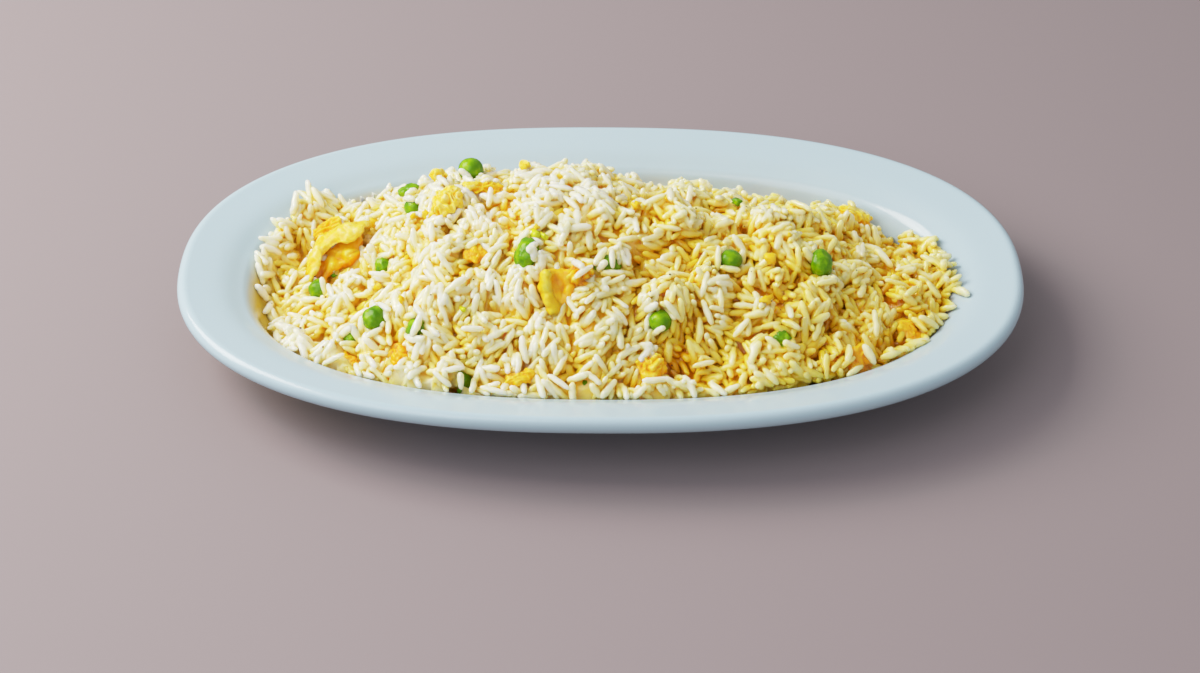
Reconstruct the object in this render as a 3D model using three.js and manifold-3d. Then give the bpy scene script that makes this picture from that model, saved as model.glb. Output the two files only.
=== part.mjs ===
// An oval platter heaped with fried rice, with pieces of scrambled egg and green peas.
// Millimetres, +Z up. The origin is on the table, under the middle of the platter.
// +X runs along the platter's length and +Y towards its back.

import * as THREE from 'three';
import { mergeVertices } from 'three/addons/utils/BufferGeometryUtils.js';
import Module from 'manifold-3d';

// ---- driving dimensions: the platter -------------------------------------------------------
const LENGTH = 290;            // lip to lip
const WIDTH = 172;
const HEIGHT = 28;             // table to the top of the lip
const LIP_THICKNESS = 6;       // the rolled edge, a full round
const RIM_END = 22.6;          // width of the rim at the two ends
const RIM_SIDE_SHARE = 0.87;   // the rim is narrower along the sides by this share
const RIM_RISE = 6.2;          // how far the rim climbs from the well to the lip
const WALL_RUN = 13;           // the well's side goes in this far as it goes down
const WELL_FLOOR = 6;          // height of the well's floor
const FOOT_INSET = 34;         // outer edge of the foot ring, in from the lip
const FOOT_WIDTH = 6;
const FOOT_RECESS = 2;         // the bottom is this far above the table inside the foot ring
const UNDER_HEIGHT = 7.5;      // the underside where it turns up outside the foot
const UNDER_RISE = [6.5, 3.4]; // how far it is below the lip half-way out and close to it
const FREE_HEIGHT = 120;       // the food may be up to this high
const OVAL_POWER_X = 2.4;      // above 2, the oval's ends and sides are fuller than an ellipse's
const OVAL_POWER_Y = 2.3;
const ROUND = 52;              // sides round every oval

// ---- driving dimensions: the food ----------------------------------------------------------
const GAP = 0.3;               // between pieces that touch
const CREST = [                // the heap's ridge from left to right: along X, height
  [-125, 14], [-112, 27], [-96, 36], [-74, 44], [-54, 56], [-36, 50.5], [-23, 56.5], [-4, 56.5],
  [8, 54], [15, 50], [28, 51.5], [40, 49.5], [56, 49.5], [67, 55.5], [80, 50.5], [94, 46.5],
  [108, 34.5], [125, 16],
];
const CREST_Y = 3;             // the ridge lies a little behind the middle
const EDGE = [                 // where the rice meets the well's side: direction in degrees, height
  [-180, 10], [-168, 10], [-152, 15], [-130, 19], [-90, 19.5], [-30, 19.5], [0, 20],
  [20, 16], [45, 13], [80, 15], [100, 18], [150, 20], [162, 16], [180, 10],
];
const SLOPE_POWER = 1.9;       // 1 is a straight-sided ridge, more is rounder
const LUMP = 1.6;              // height of the lumps in the heap
const HEAP_RINGS = 12;
const SPILL = 1.06;            // the heap is made this much too wide, then cut to the well

// Peas: x, y, diameter, how far the middle lies over the heap's surface, height for diameter.
const PEAS = [
  [-45.5, 29, 9, 2.8, 0.95],     // on top of the ridge
  [-67.5, 30.5, 7.5, 0.4, 0.5],  // a loose half
  [-65, 18, 7, -0.4, 0.9],
  [-24.5, -24.5, 9.5, -0.6, 0.8],
  [2.5, -26, 8.5, -2.2, 0.9],
  [44, -19, 7.6, -1, 0.95],
  [74.5, -15, 9, 0, 0.9],
  [20, -43, 8, -0.6, 0.9],
  [60.5, -45, 6, -0.4, 0.6],     // crushed
  [-4, -61.5, 7.2, -3.2, 0.95],
  [-46.5, -58.5, 7.8, -3.4, 0.85],
  [-75.5, -32, 8, -0.2, 0.85],
  [-98, -1, 7, -0.8, 0.95],
  [-75, -1.5, 6, -0.8, 0.9],
  [-61.5, -41.5, 7.4, -1.6, 0.7],
  [-84, -35.5, 5.4, -1.6, 0.8],
];

// Pieces of scrambled egg: name, x, y, length, width, thickness, direction of the length in
// degrees from +X, curl from edge to edge in degrees, height over the heap's surface.
const EGGS = [
  ['egg_sheet_left', -89, 13.5, 27, 14, 2.6, 36, 150, 0],
  ['egg_curd_left', -97, 27.5, 11, 7, 3.4, 30, 60, 0],
  ['egg_curd_back', -53, 9, 9, 9, 4, 80, 80, 0.4],
  ['egg_peak_back', -57, 29.5, 7, 6, 3.6, 60, 90, 2.6],
  ['egg_fold_back', -40.5, 16.5, 13, 6, 2.4, 15, 120, 0.8],
  ['egg_tip_back', -25.5, 25, 5, 4, 2.6, 90, 60, 2],
  ['egg_patch_middle', -41.5, -17.5, 7, 6, 2.6, 50, 60, -1.2],
  ['egg_slab_centre', -13, -36, 10, 6, 2.2, 85, 70, -0.4],
  ['egg_curd_centre', -6.5, -32, 8.5, 7.5, 4.6, 70, 60, 0],
  ['egg_curd_front', 17.5, -55.5, 8, 6.5, 3.8, 10, 70, -0.8],
  ['egg_curd_far_right', 89, 29, 11, 6.5, 4, 10, 90, 2.6],
  ['egg_piece_right', 105, -29, 7.5, 6, 2.6, 140, 80, -0.6],
  ['egg_sheet_right', 86.5, -45.5, 10, 8, 2.4, 60, 100, -0.4],
  ['egg_fold_front', -26, -59, 9, 5, 2, 15, 140, -0.5],
  ['egg_deep_left', -67.5, -46.5, 8, 7, 3, 70, 50, -1.8],
  ['egg_deep_corner', -84.5, -44.5, 8, 5, 2.6, 150, 50, -1.4],
];

// ---- helpers -------------------------------------------------------------------------------
const wasm = await Module();
wasm.setup();

function solidOf(geometry) {
  const bare = geometry.clone();
  bare.deleteAttribute('normal');
  bare.deleteAttribute('uv');
  const merged = mergeVertices(bare, 1e-4);
  const corners = merged.index.array;
  const kept = [];
  for (let i = 0; i < corners.length; i += 3) {
    const [a, b, c] = corners.slice(i, i + 3);
    if (a !== b && b !== c && c !== a) kept.push(a, b, c);
  }
  return new wasm.Manifold(new wasm.Mesh({
    numProp: 3,
    vertProperties: merged.attributes.position.array,
    triVerts: new Uint32Array(kept),
  }));
}

function meshOf(name, solid, material) {
  const shape = solid.getMesh();
  const geometry = new THREE.BufferGeometry();
  geometry.setAttribute('position', new THREE.BufferAttribute(shape.vertProperties, 3));
  geometry.setIndex(new THREE.BufferAttribute(shape.triVerts, 1));
  geometry.computeVertexNormals();
  const mesh = new THREE.Mesh(geometry, material);
  mesh.name = name;
  return mesh;
}

// Moves every vertex of a geometry to where place(vertex) puts it.
function reshape(geometry, place) {
  const position = geometry.attributes.position;
  const vertex = new THREE.Vector3();
  for (let i = 0; i < position.count; i += 1) {
    vertex.fromBufferAttribute(position, i);
    place(vertex);
    position.setXYZ(i, vertex.x, vertex.y, vertex.z);
  }
  return geometry;
}

// A profile of [radius, height] points, turned round the Z axis.
function turned(profile) {
  const lathe = new THREE.LatheGeometry(profile.map(([r, z]) => new THREE.Vector2(r, z)), ROUND);
  return lathe.rotateX(Math.PI / 2);
}

function arc(centreR, centreZ, radius, fromDegrees, toDegrees, steps) {
  const points = [];
  for (let i = 0; i <= steps; i += 1) {
    const turn = THREE.MathUtils.degToRad(fromDegrees + ((toDegrees - fromDegrees) * i) / steps);
    points.push([centreR + radius * Math.cos(turn), centreZ + radius * Math.sin(turn)]);
  }
  return points;
}

const signedPower = (value, power) => Math.sign(value) * Math.abs(value) ** power;

// A smooth function through [position, value] pairs.
function through(pairs) {
  const [positions, values] = [0, 1].map((column) => pairs.map((pair) => pair[column]));
  const curve = new THREE.CubicInterpolant(positions, values, 1, [0]);
  return (position) => curve.evaluate(position)[0];
}

// ---- the platter ---------------------------------------------------------------------------
// A point of the oval that lies inset millimetres in from the lip's outer edge at the ends,
// and RIM_SIDE_SHARE of that at the sides, in the direction angle.
function ovalPoint(inset, angle) {
  const halfLength = LENGTH / 2 - inset;
  const halfWidth = Math.max(WIDTH / 2 - inset * RIM_SIDE_SHARE, 0);
  return [
    halfLength * signedPower(Math.cos(angle), 2 / OVAL_POWER_X),
    halfWidth * signedPower(Math.sin(angle), 2 / OVAL_POWER_Y),
  ];
}

const LIP_RADIUS = LIP_THICKNESS / 2;
const RIM_FOOT = HEIGHT - RIM_RISE;
const WALL_FOOT = RIM_END + WALL_RUN;

// The well's side from the rim down to the floor, as [inset, height] points.
const WELL_SIDE = [
  [RIM_END - 2.5, RIM_FOOT + 0.8],
  [RIM_END, RIM_FOOT - 0.5],
  [RIM_END + 2, RIM_FOOT - 2.6],
  [RIM_END + 4.2, RIM_FOOT - 7],
  [RIM_END + 6.6, RIM_FOOT - 11.4],
  [RIM_END + 9.4, WELL_FLOOR + 2],
  [WALL_FOOT, WELL_FLOOR + 0.5],
  [WALL_FOOT + 6, WELL_FLOOR],
];

// Turns a profile of [inset, height] points into an oval solid.
function oval(profile) {
  const middle = LENGTH / 2;
  return solidOf(reshape(turned(profile.map(([inset, z]) => [middle - inset, z])), (vertex) => {
    const radius = Math.hypot(vertex.x, vertex.y);
    if (radius < 1e-6) return;
    const [x, y] = ovalPoint(middle - radius, Math.atan2(vertex.y, vertex.x));
    vertex.x = x;
    vertex.y = y;
  }));
}

function platterSolid() {
  const lip = arc(LIP_RADIUS, HEIGHT - LIP_RADIUS, LIP_RADIUS, 270, 90, 4);
  const lipFoot = HEIGHT - LIP_THICKNESS;
  return oval([
    [LENGTH / 2, FOOT_RECESS],
    [FOOT_INSET + FOOT_WIDTH + 1, FOOT_RECESS],
    [FOOT_INSET + FOOT_WIDTH, 0],
    [FOOT_INSET, 0],
    [FOOT_INSET - 1, FOOT_RECESS + 0.4],
    [RIM_END + 3, UNDER_HEIGHT],
    [RIM_END - 2, lipFoot - UNDER_RISE[0]],
    [RIM_END - 8, lipFoot - UNDER_RISE[1]],
    ...lip,
    [(LIP_THICKNESS + RIM_END) / 2, RIM_FOOT + 3.4],
    ...WELL_SIDE,
    [LENGTH / 2, WELL_FLOOR],
  ]);
}

// The space inside the well and over the rim, clear of the platter by the gap.
function spaceOverPlatter() {
  const middle = LENGTH / 2;
  const overLip = LIP_RADIUS + 1;
  return oval([
    [middle, WELL_FLOOR + GAP],
    ...WELL_SIDE.map(([inset, z]) => [inset + GAP, z + GAP / 2]).reverse(),
    [overLip, HEIGHT + GAP],
    [overLip, FREE_HEIGHT],
    [middle, FREE_HEIGHT],
  ]);
}

// ---- the heap of rice ----------------------------------------------------------------------
const crestHeight = through(CREST);
const edgeHeight = through(EDGE);

// Inset of the well's side at a height.
function wellInset(z) {
  const low = WELL_SIDE.findIndex(([, height]) => height <= z);
  const [[inset0, z0], [inset1, z1]] = [WELL_SIDE[low - 1], WELL_SIDE[low]];
  return inset0 + ((inset1 - inset0) * (z0 - z)) / (z0 - z1);
}

const lumps = (x, y) => LUMP * (
  0.6 * Math.sin(x / 8.5 + 0.7) * Math.cos(y / 8 - 0.4)
  + 0.5 * Math.sin(x / 4.6 - y / 7.3 + 2)
  + 0.4 * Math.cos(x / 13 + y / 5.2)
);

// The point of the heap's surface that is share of the way from the ridge's middle to the
// edge, in the direction angle.
function heapPoint(share, angle) {
  const edge = edgeHeight(THREE.MathUtils.radToDeg(angle));
  const [edgeX, edgeY] = ovalPoint(wellInset(edge), angle);
  const [x, y] = [edgeX * share, edgeY * share + CREST_Y * (1 - share)];
  const ridge = Math.max(crestHeight(x), edge);
  const z = edge + (ridge - edge) * (1 - share ** SLOPE_POWER);
  return [x, y, z + lumps(x, y) * (1 - (share / SPILL) ** 6)];
}

function heapSolid() {
  const shell = [[0, 0], [SPILL, 0]];
  for (let i = HEAP_RINGS; i >= 0; i -= 1) shell.push([(SPILL * i) / HEAP_RINGS, 1]);
  const blob = solidOf(reshape(turned(shell), (vertex) => {
    const share = Math.hypot(vertex.x, vertex.y);
    const [x, y, z] = heapPoint(share, Math.atan2(vertex.y, vertex.x));
    vertex.set(x, y, vertex.z > 0.5 ? z : WELL_FLOOR - 2);
  }));
  return blob.intersect(spaceOverPlatter());
}

// The heap with a pocket for each piece that lies in it, without the crumbs that cutting leaves.
function cutPockets(heap, pockets) {
  const bodies = pockets.reduce((left, pocket) => left.subtract(pocket), heap).decompose();
  return bodies.sort((a, b) => b.volume() - a.volume())[0];
}

// ---- the pieces in it ----------------------------------------------------------------------
// Stands a geometry made round the origin, with +Z outwards, on the heap's surface.
function layOn(heapMesh, geometry, { x, y, turn, over }) {
  const down = new THREE.Raycaster(new THREE.Vector3(x, y, 200), new THREE.Vector3(0, 0, -1));
  const [{ point, face }] = down.intersectObject(heapMesh);
  const upright = new THREE.Vector3(0, 0, 1);
  const lean = new THREE.Quaternion().setFromUnitVectors(upright, face.normal);
  const spin = new THREE.Quaternion().setFromAxisAngle(upright, THREE.MathUtils.degToRad(turn));
  const place = point.addScaledVector(face.normal, over);
  return geometry.applyMatrix4(
    new THREE.Matrix4().compose(place, lean.multiply(spin), new THREE.Vector3(1, 1, 1)),
  );
}

// A cooked pea is a ball that has sunk in a little; a loose half or a crushed one is flatter.
function peaShape(diameter, flat) {
  const radius = diameter / 2;
  return new THREE.IcosahedronGeometry(1, 1).scale(radius, radius, radius * flat);
}

// Its pocket has twenty faces, which the pea would touch at their middles but for the gap.
function peaPocket(diameter, flat) {
  const inscribed = 0.7947;
  const reach = (radius) => (radius + GAP) / inscribed;
  const radius = diameter / 2;
  return new THREE.IcosahedronGeometry(1, 0).scale(reach(radius), reach(radius), reach(radius * flat));
}

// A torn piece of set egg: an uneven slab, thin at its edges, curled about its length.
function eggShape(length, width, thickness, curl, grow) {
  const slab = new THREE.BoxGeometry(2, 2, 2, length > 12 ? 6 : 4, 3, 1);
  const bendRadius = width / THREE.MathUtils.degToRad(curl);
  return reshape(slab, (vertex) => {
    const [along, across, side] = [vertex.x, vertex.y, vertex.z];
    const round = Math.sqrt(1 - 0.42 * across ** 2) * (1 + 0.08 * Math.sin(5 * across + length));
    const narrow = Math.sqrt(1 - 0.42 * along ** 2) * (1 + 0.1 * Math.sin(4 * along + width));
    const thin = 1 - 0.5 * Math.max(along ** 2, across ** 2);
    const lump = 0.16 * thickness * Math.sin(3.1 * along + 2.3 * across + length);
    const swing = (across * (width / 2 + grow) * narrow) / bendRadius;
    const arm = bendRadius + side * ((thickness / 2) * thin + grow) + lump;
    const x = along * (length / 2 + grow) * round;
    vertex.set(x, arm * Math.sin(swing), arm * Math.cos(swing) - bendRadius);
  });
}

// ---- put together --------------------------------------------------------------------------
const porcelain = new THREE.MeshStandardMaterial({ color: 0xdfe8ea, roughness: 0.12, metalness: 0 });
const rice = new THREE.MeshStandardMaterial({ color: 0xe9dfb8, roughness: 0.45, metalness: 0 });
const egg = new THREE.MeshStandardMaterial({ color: 0xf2c64c, roughness: 0.5, metalness: 0 });
const green = new THREE.MeshStandardMaterial({ color: 0x57a81f, roughness: 0.3, metalness: 0 });

const heap = heapSolid();
const heapMesh = meshOf('rice_heap', heap, rice);

const peas = PEAS.map(([x, y, diameter, over, flat], index) => ({
  name: `pea_${String(index + 1).padStart(2, '0')}`,
  place: { x, y, over, turn: index * 40 },
  shape: peaShape(diameter, flat),
  pocket: peaPocket(diameter, flat),
  material: green,
}));

const eggs = EGGS.map(([name, x, y, length, width, thickness, turn, curl, over]) => ({
  name,
  place: { x, y, over, turn },
  shape: eggShape(length, width, thickness, curl, 0),
  pocket: eggShape(length, width, thickness, curl, GAP * 1.5),
  material: egg,
}));

const pieces = [...peas, ...eggs];
const pockets = pieces.map((piece) => solidOf(layOn(heapMesh, piece.pocket, piece.place)));

const plate = new THREE.Group();
plate.add(meshOf('platter', platterSolid(), porcelain));
plate.add(meshOf('rice_heap', cutPockets(heap, pockets), rice));
pieces.forEach(({ name, shape, place, material }) => {
  plate.add(meshOf(name, solidOf(layOn(heapMesh, shape, place)), material));
});
export default plate;
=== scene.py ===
# Egg fried rice with peas, heaped on an oval porcelain platter.
# Metres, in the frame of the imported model; lengths named in millimetres are turned by MM.
import math

import bmesh
import bpy
import numpy as np
from mathutils import Matrix, Vector, noise
from mathutils.bvhtree import BVHTree
from mathutils.kdtree import KDTree


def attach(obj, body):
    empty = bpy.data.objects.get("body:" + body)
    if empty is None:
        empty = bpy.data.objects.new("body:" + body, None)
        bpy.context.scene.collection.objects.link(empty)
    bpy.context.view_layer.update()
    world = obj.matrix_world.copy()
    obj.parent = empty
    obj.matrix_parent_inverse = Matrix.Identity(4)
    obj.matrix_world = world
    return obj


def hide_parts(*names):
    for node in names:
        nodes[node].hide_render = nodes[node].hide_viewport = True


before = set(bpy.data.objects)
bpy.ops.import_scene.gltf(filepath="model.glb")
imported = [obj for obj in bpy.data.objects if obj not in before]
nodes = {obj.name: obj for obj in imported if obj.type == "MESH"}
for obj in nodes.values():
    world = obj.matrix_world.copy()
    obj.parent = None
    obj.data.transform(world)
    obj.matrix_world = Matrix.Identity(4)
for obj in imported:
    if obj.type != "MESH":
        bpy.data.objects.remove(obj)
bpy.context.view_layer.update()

MM = 0.001

# ---- the picture ----
CAMERA_AT = (4.7, -708.5, 549.1)   # millimetres
CAMERA_DOWN = 38.0                 # degrees below the horizon
CAMERA_TURN = 0.39                 # degrees to the left
LENS, SENSOR = 76.7, 36            # focal length and sensor's width, millimetres
KEY_AT = (-760, 170, 720)          # the soft key light, millimetres
KEY_SIZE = 700
KEY_WATTS = 12.3
GLINT_SIZE = 130                   # a smaller window in its middle, for crisp glints
GLINT_WATTS = 0.8
FILL_AT = (-560, -600, 920)        # a broad fill light from the front
FILL_SIZE = 900
FILL_WATTS = 4.6
LIGHTS_AIM = (0, 0, 20)
FLOOR_HALF = 2500
SKY_STRENGTH = 0.47
TONE_WHITE = 2.0                   # the light that comes out quite white
TONE = (                           # how light comes out between, with a soft shoulder like film
    (0.08, 0.1), (0.2, 0.26), (0.4, 0.48), (0.7, 0.68), (1.0, 0.79), (1.5, 0.9),
)

# ---- the platter, as in the frame ----
LENGTH, WIDTH, HEIGHT = 290, 172, 28
LIP_THICKNESS = 6
RIM_END = 22.6                     # width of the rim at the ends
RIM_SIDE_SHARE = 0.87              # and of that along the sides
RIM_FOOT = 21.8                    # height where the rim turns down into the well
WELL_FLOOR = 6
OVAL_POWERS = (2.4, 2.3)

# ---- the rice ----
CELL = 1.0                         # spacing of the height maps
GRAIN_LENGTH = (7.4, 10.0)         # whole grains
GRAIN_WIDTH = (2.4, 3.0)
BROKEN_SHARE = 0.14
BROKEN_LENGTH = (4.2, 6)
GRAIN_BLUNTNESS = (2.7, 4.4)       # the higher, the blunter a grain's ends
GRAIN_BEND = 0.5                   # in half widths
GRAIN_LEAN = 0.15                  # how much one end may be fatter, in half lengths
GRAIN_FLATNESS = 0.84
GRAIN_FORMS = 12                   # different shapes
STANDING_SHARE = 0.13              # of the grains stand up this much, in radians
STANDING_TILT = (0.5, 1.3)
LYING_TILT = 0.3                   # the others rise or sink about so much, and turn about so
HEADING_SPREAD = 0.5               # much from their clump's direction
LAYERS = (                         # how many grains, and how deep under the surface
    (3900, 0.4, 2.4), (1300, 2.4, 4.0), (440, -1.0, 0.3),
)
CORE_DEPTH = (2.0, 3.0)            # the core lies this far under the heap's surface, at the
CORE_SHIFT = (0, 50)               # left and at the right, and where that changes
CORE_STEP = 2                      # cells between the core's points
CORE_ROUGHNESS, ROUGH_SIZE = 0.9, 2.2   # height of its lumps, and their size in cells
CORE_CLEAR = 0.4                   # above the well's floor
CORE_THINNEST = 0.3
CLUMP_SPACING = 13                 # grains stick together in clumps about this wide
CLUMP = 5.4                        # depth of the creases between them
CLUMP_STEP = 1.5                   # how much their heights differ
CREASE_REACH = 5.5                 # how far from a clump's border its crease is felt
CREASE_CURVE = 0.7                 # below 1, clumps are rounded and creases sharp
CREASE_LEVEL = 0.78                # of CLUMP: the level that leaves the heap's height as it is
WANDER, WANDER_SIZE = 3.5, 9       # the clumps' borders wander this far, in bends this long
UNEVEN = 0.8                       # height of finer lumps, a few cells wide
UNEVEN_BLUR = 1.6
BRIDGED = 5                        # cells: pits in the heap's solid this wide are closed over
EDGE_BLUR = 3                      # cells over which the heap's edge fades
SURFACE_BLUR = 1.2
OVERLAP = 5                        # stretches of the core run into each other this far
STRETCHES = (-150, -78, -48, -20, 8, 38, 70, 150)   # along X, one piece of rice for each
HOLLOWS = (                        # x, y, radius and depth
    (-88, 6, 5, 5), (26.5, -51, 6, 8), (66, -22, 6, 4), (-68, -44, 5, 3), (-84, -44, 5, 3),
    (-53, -44, 5, 3), (-18, -35, 5, 3), (102, -36, 5, 3), (-45, -22, 6, 3),
)
CREST = (                          # along X, how much the heap's outline sinks before it settles
    (-110, -8), (-103, -9), (-97, -3), (-91, 5.5), (-85, 8.6), (-79, 7.2), (-72, 5),
    (-66, 7), (-60, 4.4), (-54, 2), (-47, 0), (-41, 0), (-34, 2.2), (-28, 3), (-21, 3.6),
    (-15, 4), (-9, 3.6), (-3, 0.8), (3, 4), (9, 6), (16, 12), (22, 11.4), (28, 1), (34, 3.8),
    (41, 6.2), (47, 5.6), (53, 7.8), (60, 8), (66, 4.4), (72, 10.4), (78, 2.4), (85, -1.2),
    (90, -1), (96, 6), (103, 10), (108, -1), (114, -4),
)
CREST_BAND = 12                    # seen from the front, the band under the outline that sinks
WHITE_CLUMPS = (                   # stickier rice with less oil and egg on it: x, y and radius
    (-97, -33, 18), (-58, -50, 10), (-45, 4, 11), (-12, 10, 14), (16, -44, 8), (62, 8, 8),
    (50, -38, 8), (-30, -28, 7), (36, 6, 8),
)
SETTLE_STEPS = 48
PAIRED_EVERY = 8                   # steps between two searches for grains near each other
TOUCHED_EVERY = 3                  # and between two pushes by the peas and egg
NEAR = 4                           # a pea or egg pushes grains this near to its surface
HOLD = 0.3                         # share of its way back that a grain takes in a step if it
                                   # has left its depth
RISE = 0.25                        # and of that, where it has sunk
END_PLAY = 1.2                     # its ends may come this much nearer to the surface
SQUASH = (0.79, 0.58)              # soft grains lie this share of their widths apart: any two,
                                   # and two that stick together in a clump
TAPER = 0.3                        # a grain is thinner by this share at its ends
STARCH = 0.7                       # this share of the creases between grains is filled
STARCH_DEPTH = 0.12                # where they are at least so deep

TOPS_REACH, TOPS_BLUR = 3, 4       # cells over which the heap's tops are found and smoothed
DEEP = 6                           # this far under the heap's tops, rice is quite sunk
SUNK_FROM = 0.35                   # and from this share of it down, painted shade makes it deeper yellow
CREASE = 0.25                      # a crease this deep between neighbouring points is full
REACH = 6.5                        # how far off a grain still shuts another in
RAYS = 6                           # ways that this is felt from each point
OFF_SKIN = 0.06                    # and how far off the skin that starts
OPEN = 0.14                        # less shut in than this, rice gets no painted shade from it
YELLOW_AND_SHADE_WEIGHTS = {                           # what colours rice, and how much each counts: painted shade where it is shut in, sunk, creased and in hollows, painted side light and shade, and its own tint
    "shut_in": 0.75, "sunk": 0.45, "crease": 0.1, "tint": 0.26, "side_light_and_shade": 0.12, "hollow": 0.45,
}
WHITE = 0.6                        # how much a white clump takes from its grains' tint
SIDE_LIGHT_MIDDLE, SIDE_LIGHT_REACH = 15, 45   # along X: painted light makes rice paler to the left of it, painted shade deeper yellow to the right
FULL_HOLLOW = 8                    # a hollow this deep has all of a hollow's painted shade

LET_DOWN = (30, -30, -0.25)        # from, to and step: the way a laid grain is let down
ON_RICE, ON_PEA = 0.3, 0.75        # how high it then lies, in half widths
STEEPEST = 1.2                     # its steepest slope, seen from the front
IN_FRONT = 12                      # a grain this near before a pea or egg may cover it
POKING = 2.5                       # nearer than this it would stick out of the egg
NESTLE = 0.45                      # against a pea or egg, this share of their half widths

# Seen from the front, as high over the table as the camera looks down.
DOWN = math.radians(CAMERA_DOWN)
ACROSS = np.array([1.0, 0.0, 0.0])
UPWARDS = np.array([0.0, math.sin(DOWN), math.cos(DOWN)])
TOWARDS = np.array([0.0, -math.cos(DOWN), math.sin(DOWN)])
DOWNWARDS = np.array([0.0, 0.0, -1.0])

# Grains that lie on a pea or against it, seen from the front: across and up from the pea's
# middle, direction in degrees from +X, and length.
AGAINST = {
    "pea_01": ((-1.4, -2.2, -45, 6.8), (7, -1.6, 20, 8), (-4.5, -3.5, -60, 8)),
    "pea_02": ((1.2, -1.2, 30, 5), (-3.4, -2.5, 10, 7)),
    "pea_03": ((-1.4, 2.8, -9, 5.2), (2.8, 3.4, 60, 8), (3.4, 0.2, 80, 8), (0.3, -3, 10, 8),
               (-3, -1.8, -30, 7)),
    "pea_04": ((1.8, 2.2, 45, 5.5), (3, 4.3, -20, 5.5), (4.9, -3, -84, 7.4), (2.3, -6.6, -50, 6.5),
               (2.4, 0.2, 100, 6)),
    "pea_05": ((-1.9, 2.9, 56, 8.2), (-1.4, -0.2, 50, 5), (2, 2.3, 92, 8), (5.6, 2.2, -77, 6.5),
               (1.9, -2.6, 2, 8), (0, 6.6, 0, 8), (3.1, -5, 24, 7.4), (-4.7, -5.3, 82, 5.5)),
    "pea_06": ((3.9, 0.6, 84, 7), (-0.3, -3.1, -9, 7.4), (-2.4, 3.4, 45, 5.5), (7, -2.2, -84, 9.6)),
    "pea_07": ((-4.3, 2.8, -52, 7), (-7.8, 2.2, -85, 8), (-3.1, -6.2, -59, 6.5),
               (1.7, -6, 63, 7.6)),
    "pea_08": ((-4.3, -0.6, 80, 7), (-0.7, -3.3, 35, 6.5), (0.9, -5, 50, 7), (5.2, -3.4, -86, 6.5),
               (5.2, 2.8, -63, 6.5), (-3.1, 4.5, 30, 6), (2.5, 5, -20, 6), (2.8, -8.1, 90, 7)),
    "pea_09": ((-2.2, 1.6, 20, 6), (2.4, -1.8, -20, 6.5), (0, 3.4, -15, 7)),
    "pea_10": ((2.8, -0.6, -56, 6), (-4.6, -1, -86, 6.5), (2.2, 3.4, -40, 7), (-3, 3.6, 20, 8)),
    "pea_11": ((1, 0.6, -86, 6), (-5.1, 1.2, -40, 8), (-1.6, 4.4, 10, 8), (3.8, 3.6, -20, 8),
               (5, -1, 80, 7)),
    "pea_12": ((-4.3, -2.8, -87, 7.4), (0.6, -4.8, 30, 7), (3.6, 3.8, -30, 8)),
    "pea_13": ((0.3, 3.6, 30, 6), (2.3, 0.2, -75, 8.6), (5, -0.6, -60, 8.6), (-2, -3.6, 0, 8)),
    "pea_14": ((3, 0, 85, 8), (0.2, 3.4, 10, 8), (0, -3.4, -10, 8)),
    "pea_15": ((0.5, 1, 69, 8.8), (-2.4, 3.8, 20, 7), (0, -3.4, 0, 8)),
    "pea_16": ((-1.9, 1.6, 40, 8), (1.9, 1.2, -60, 8), (0, -2.2, 0, 8)),
    "egg_curd_back": ((4.6, 0.9, -45, 7.5), (-4.3, -3.4, 80, 6.5), (-3.6, 4.6, -30, 8),
                      (-1, -6.6, 20, 8), (3, -5.4, 60, 8)),
    "egg_curd_centre": ((1.2, 1.2, 35, 8), (-0.6, 3.6, -30, 6.5), (3.6, -2.6, -20, 8)),
    "egg_slab_centre": ((0.8, -7, 70, 9), (4, -4.6, -60, 8), (-5.4, -3, 60, 8)),
    "egg_curd_front": ((5.4, 4.6, 88, 7), (0.9, -4.2, 4, 9), (-2, 4.4, 50, 8)),
    "egg_patch_middle": ((-1.5, 3, 40, 7), (-3.5, -2.6, 15, 8), (3.6, 2, -40, 6.5)),
    "egg_peak_back": ((2.6, -2.4, -40, 7.5), (-2.6, -3, 30, 8), (0.4, -5, -20, 8)),
    "egg_fold_back": ((-4.5, 2.4, -35, 8), (-3.6, -3, -45, 8.5), (2.6, -3.6, -20, 8)),
    "egg_tip_back": ((3, -3, 10, 8.5), (-2, -3.6, 50, 7)),
    "egg_sheet_right": ((-2, -3, 30, 8), (3, 2.4, -60, 8), (-4, 2.8, 80, 8)),
    "egg_piece_right": ((-3, -1, 60, 7.5), (2, -3.4, 10, 8)),
}

GROWN = {                          # some pieces of egg swell beyond their place in the frame
    "egg_curd_centre": 1.1, "egg_curd_back": 1.25, "egg_peak_back": 0.8, "egg_tip_back": 0.8,
    "egg_curd_front": 1.2, "egg_curd_far_right": 1.15, "egg_patch_middle": 1.25,
    "egg_piece_right": 1.2, "egg_sheet_right": 1.15, "egg_fold_back": 1.1,
}

# Single grains that stand out on top: x, y and height, direction seen from the front, length.
STRAYS = (
    (-96, 35, 24, -35, 7), (-92, 33.5, 26, 40, 8), (92, -32.4, 27, 92, 10.5), (93.5, -30, 27, 70, 8),
    (78, -3, 41, -72, 8), (66, -9, 41, -62, 8), (60, -22, 39, 60, 7), (62, -22, 40, 100, 8),
    (-57, -4, 43, -85, 7.5), (-36, -30, 42, 72, 8), (-21, -8, 53, -85, 9), (-15, -14, 52, -30, 10),
    (0, -24, 49, 85, 8.5), (12, -10, 51, 100, 9), (26, -22, 44, 75, 8.5), (40, -34, 38, 95, 8),
    (48, -22, 41, 35, 9), (-68, -30, 33, 95, 8), (-30, -48, 32, 60, 8), (104, -16, 25, -40, 8),
)

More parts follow.
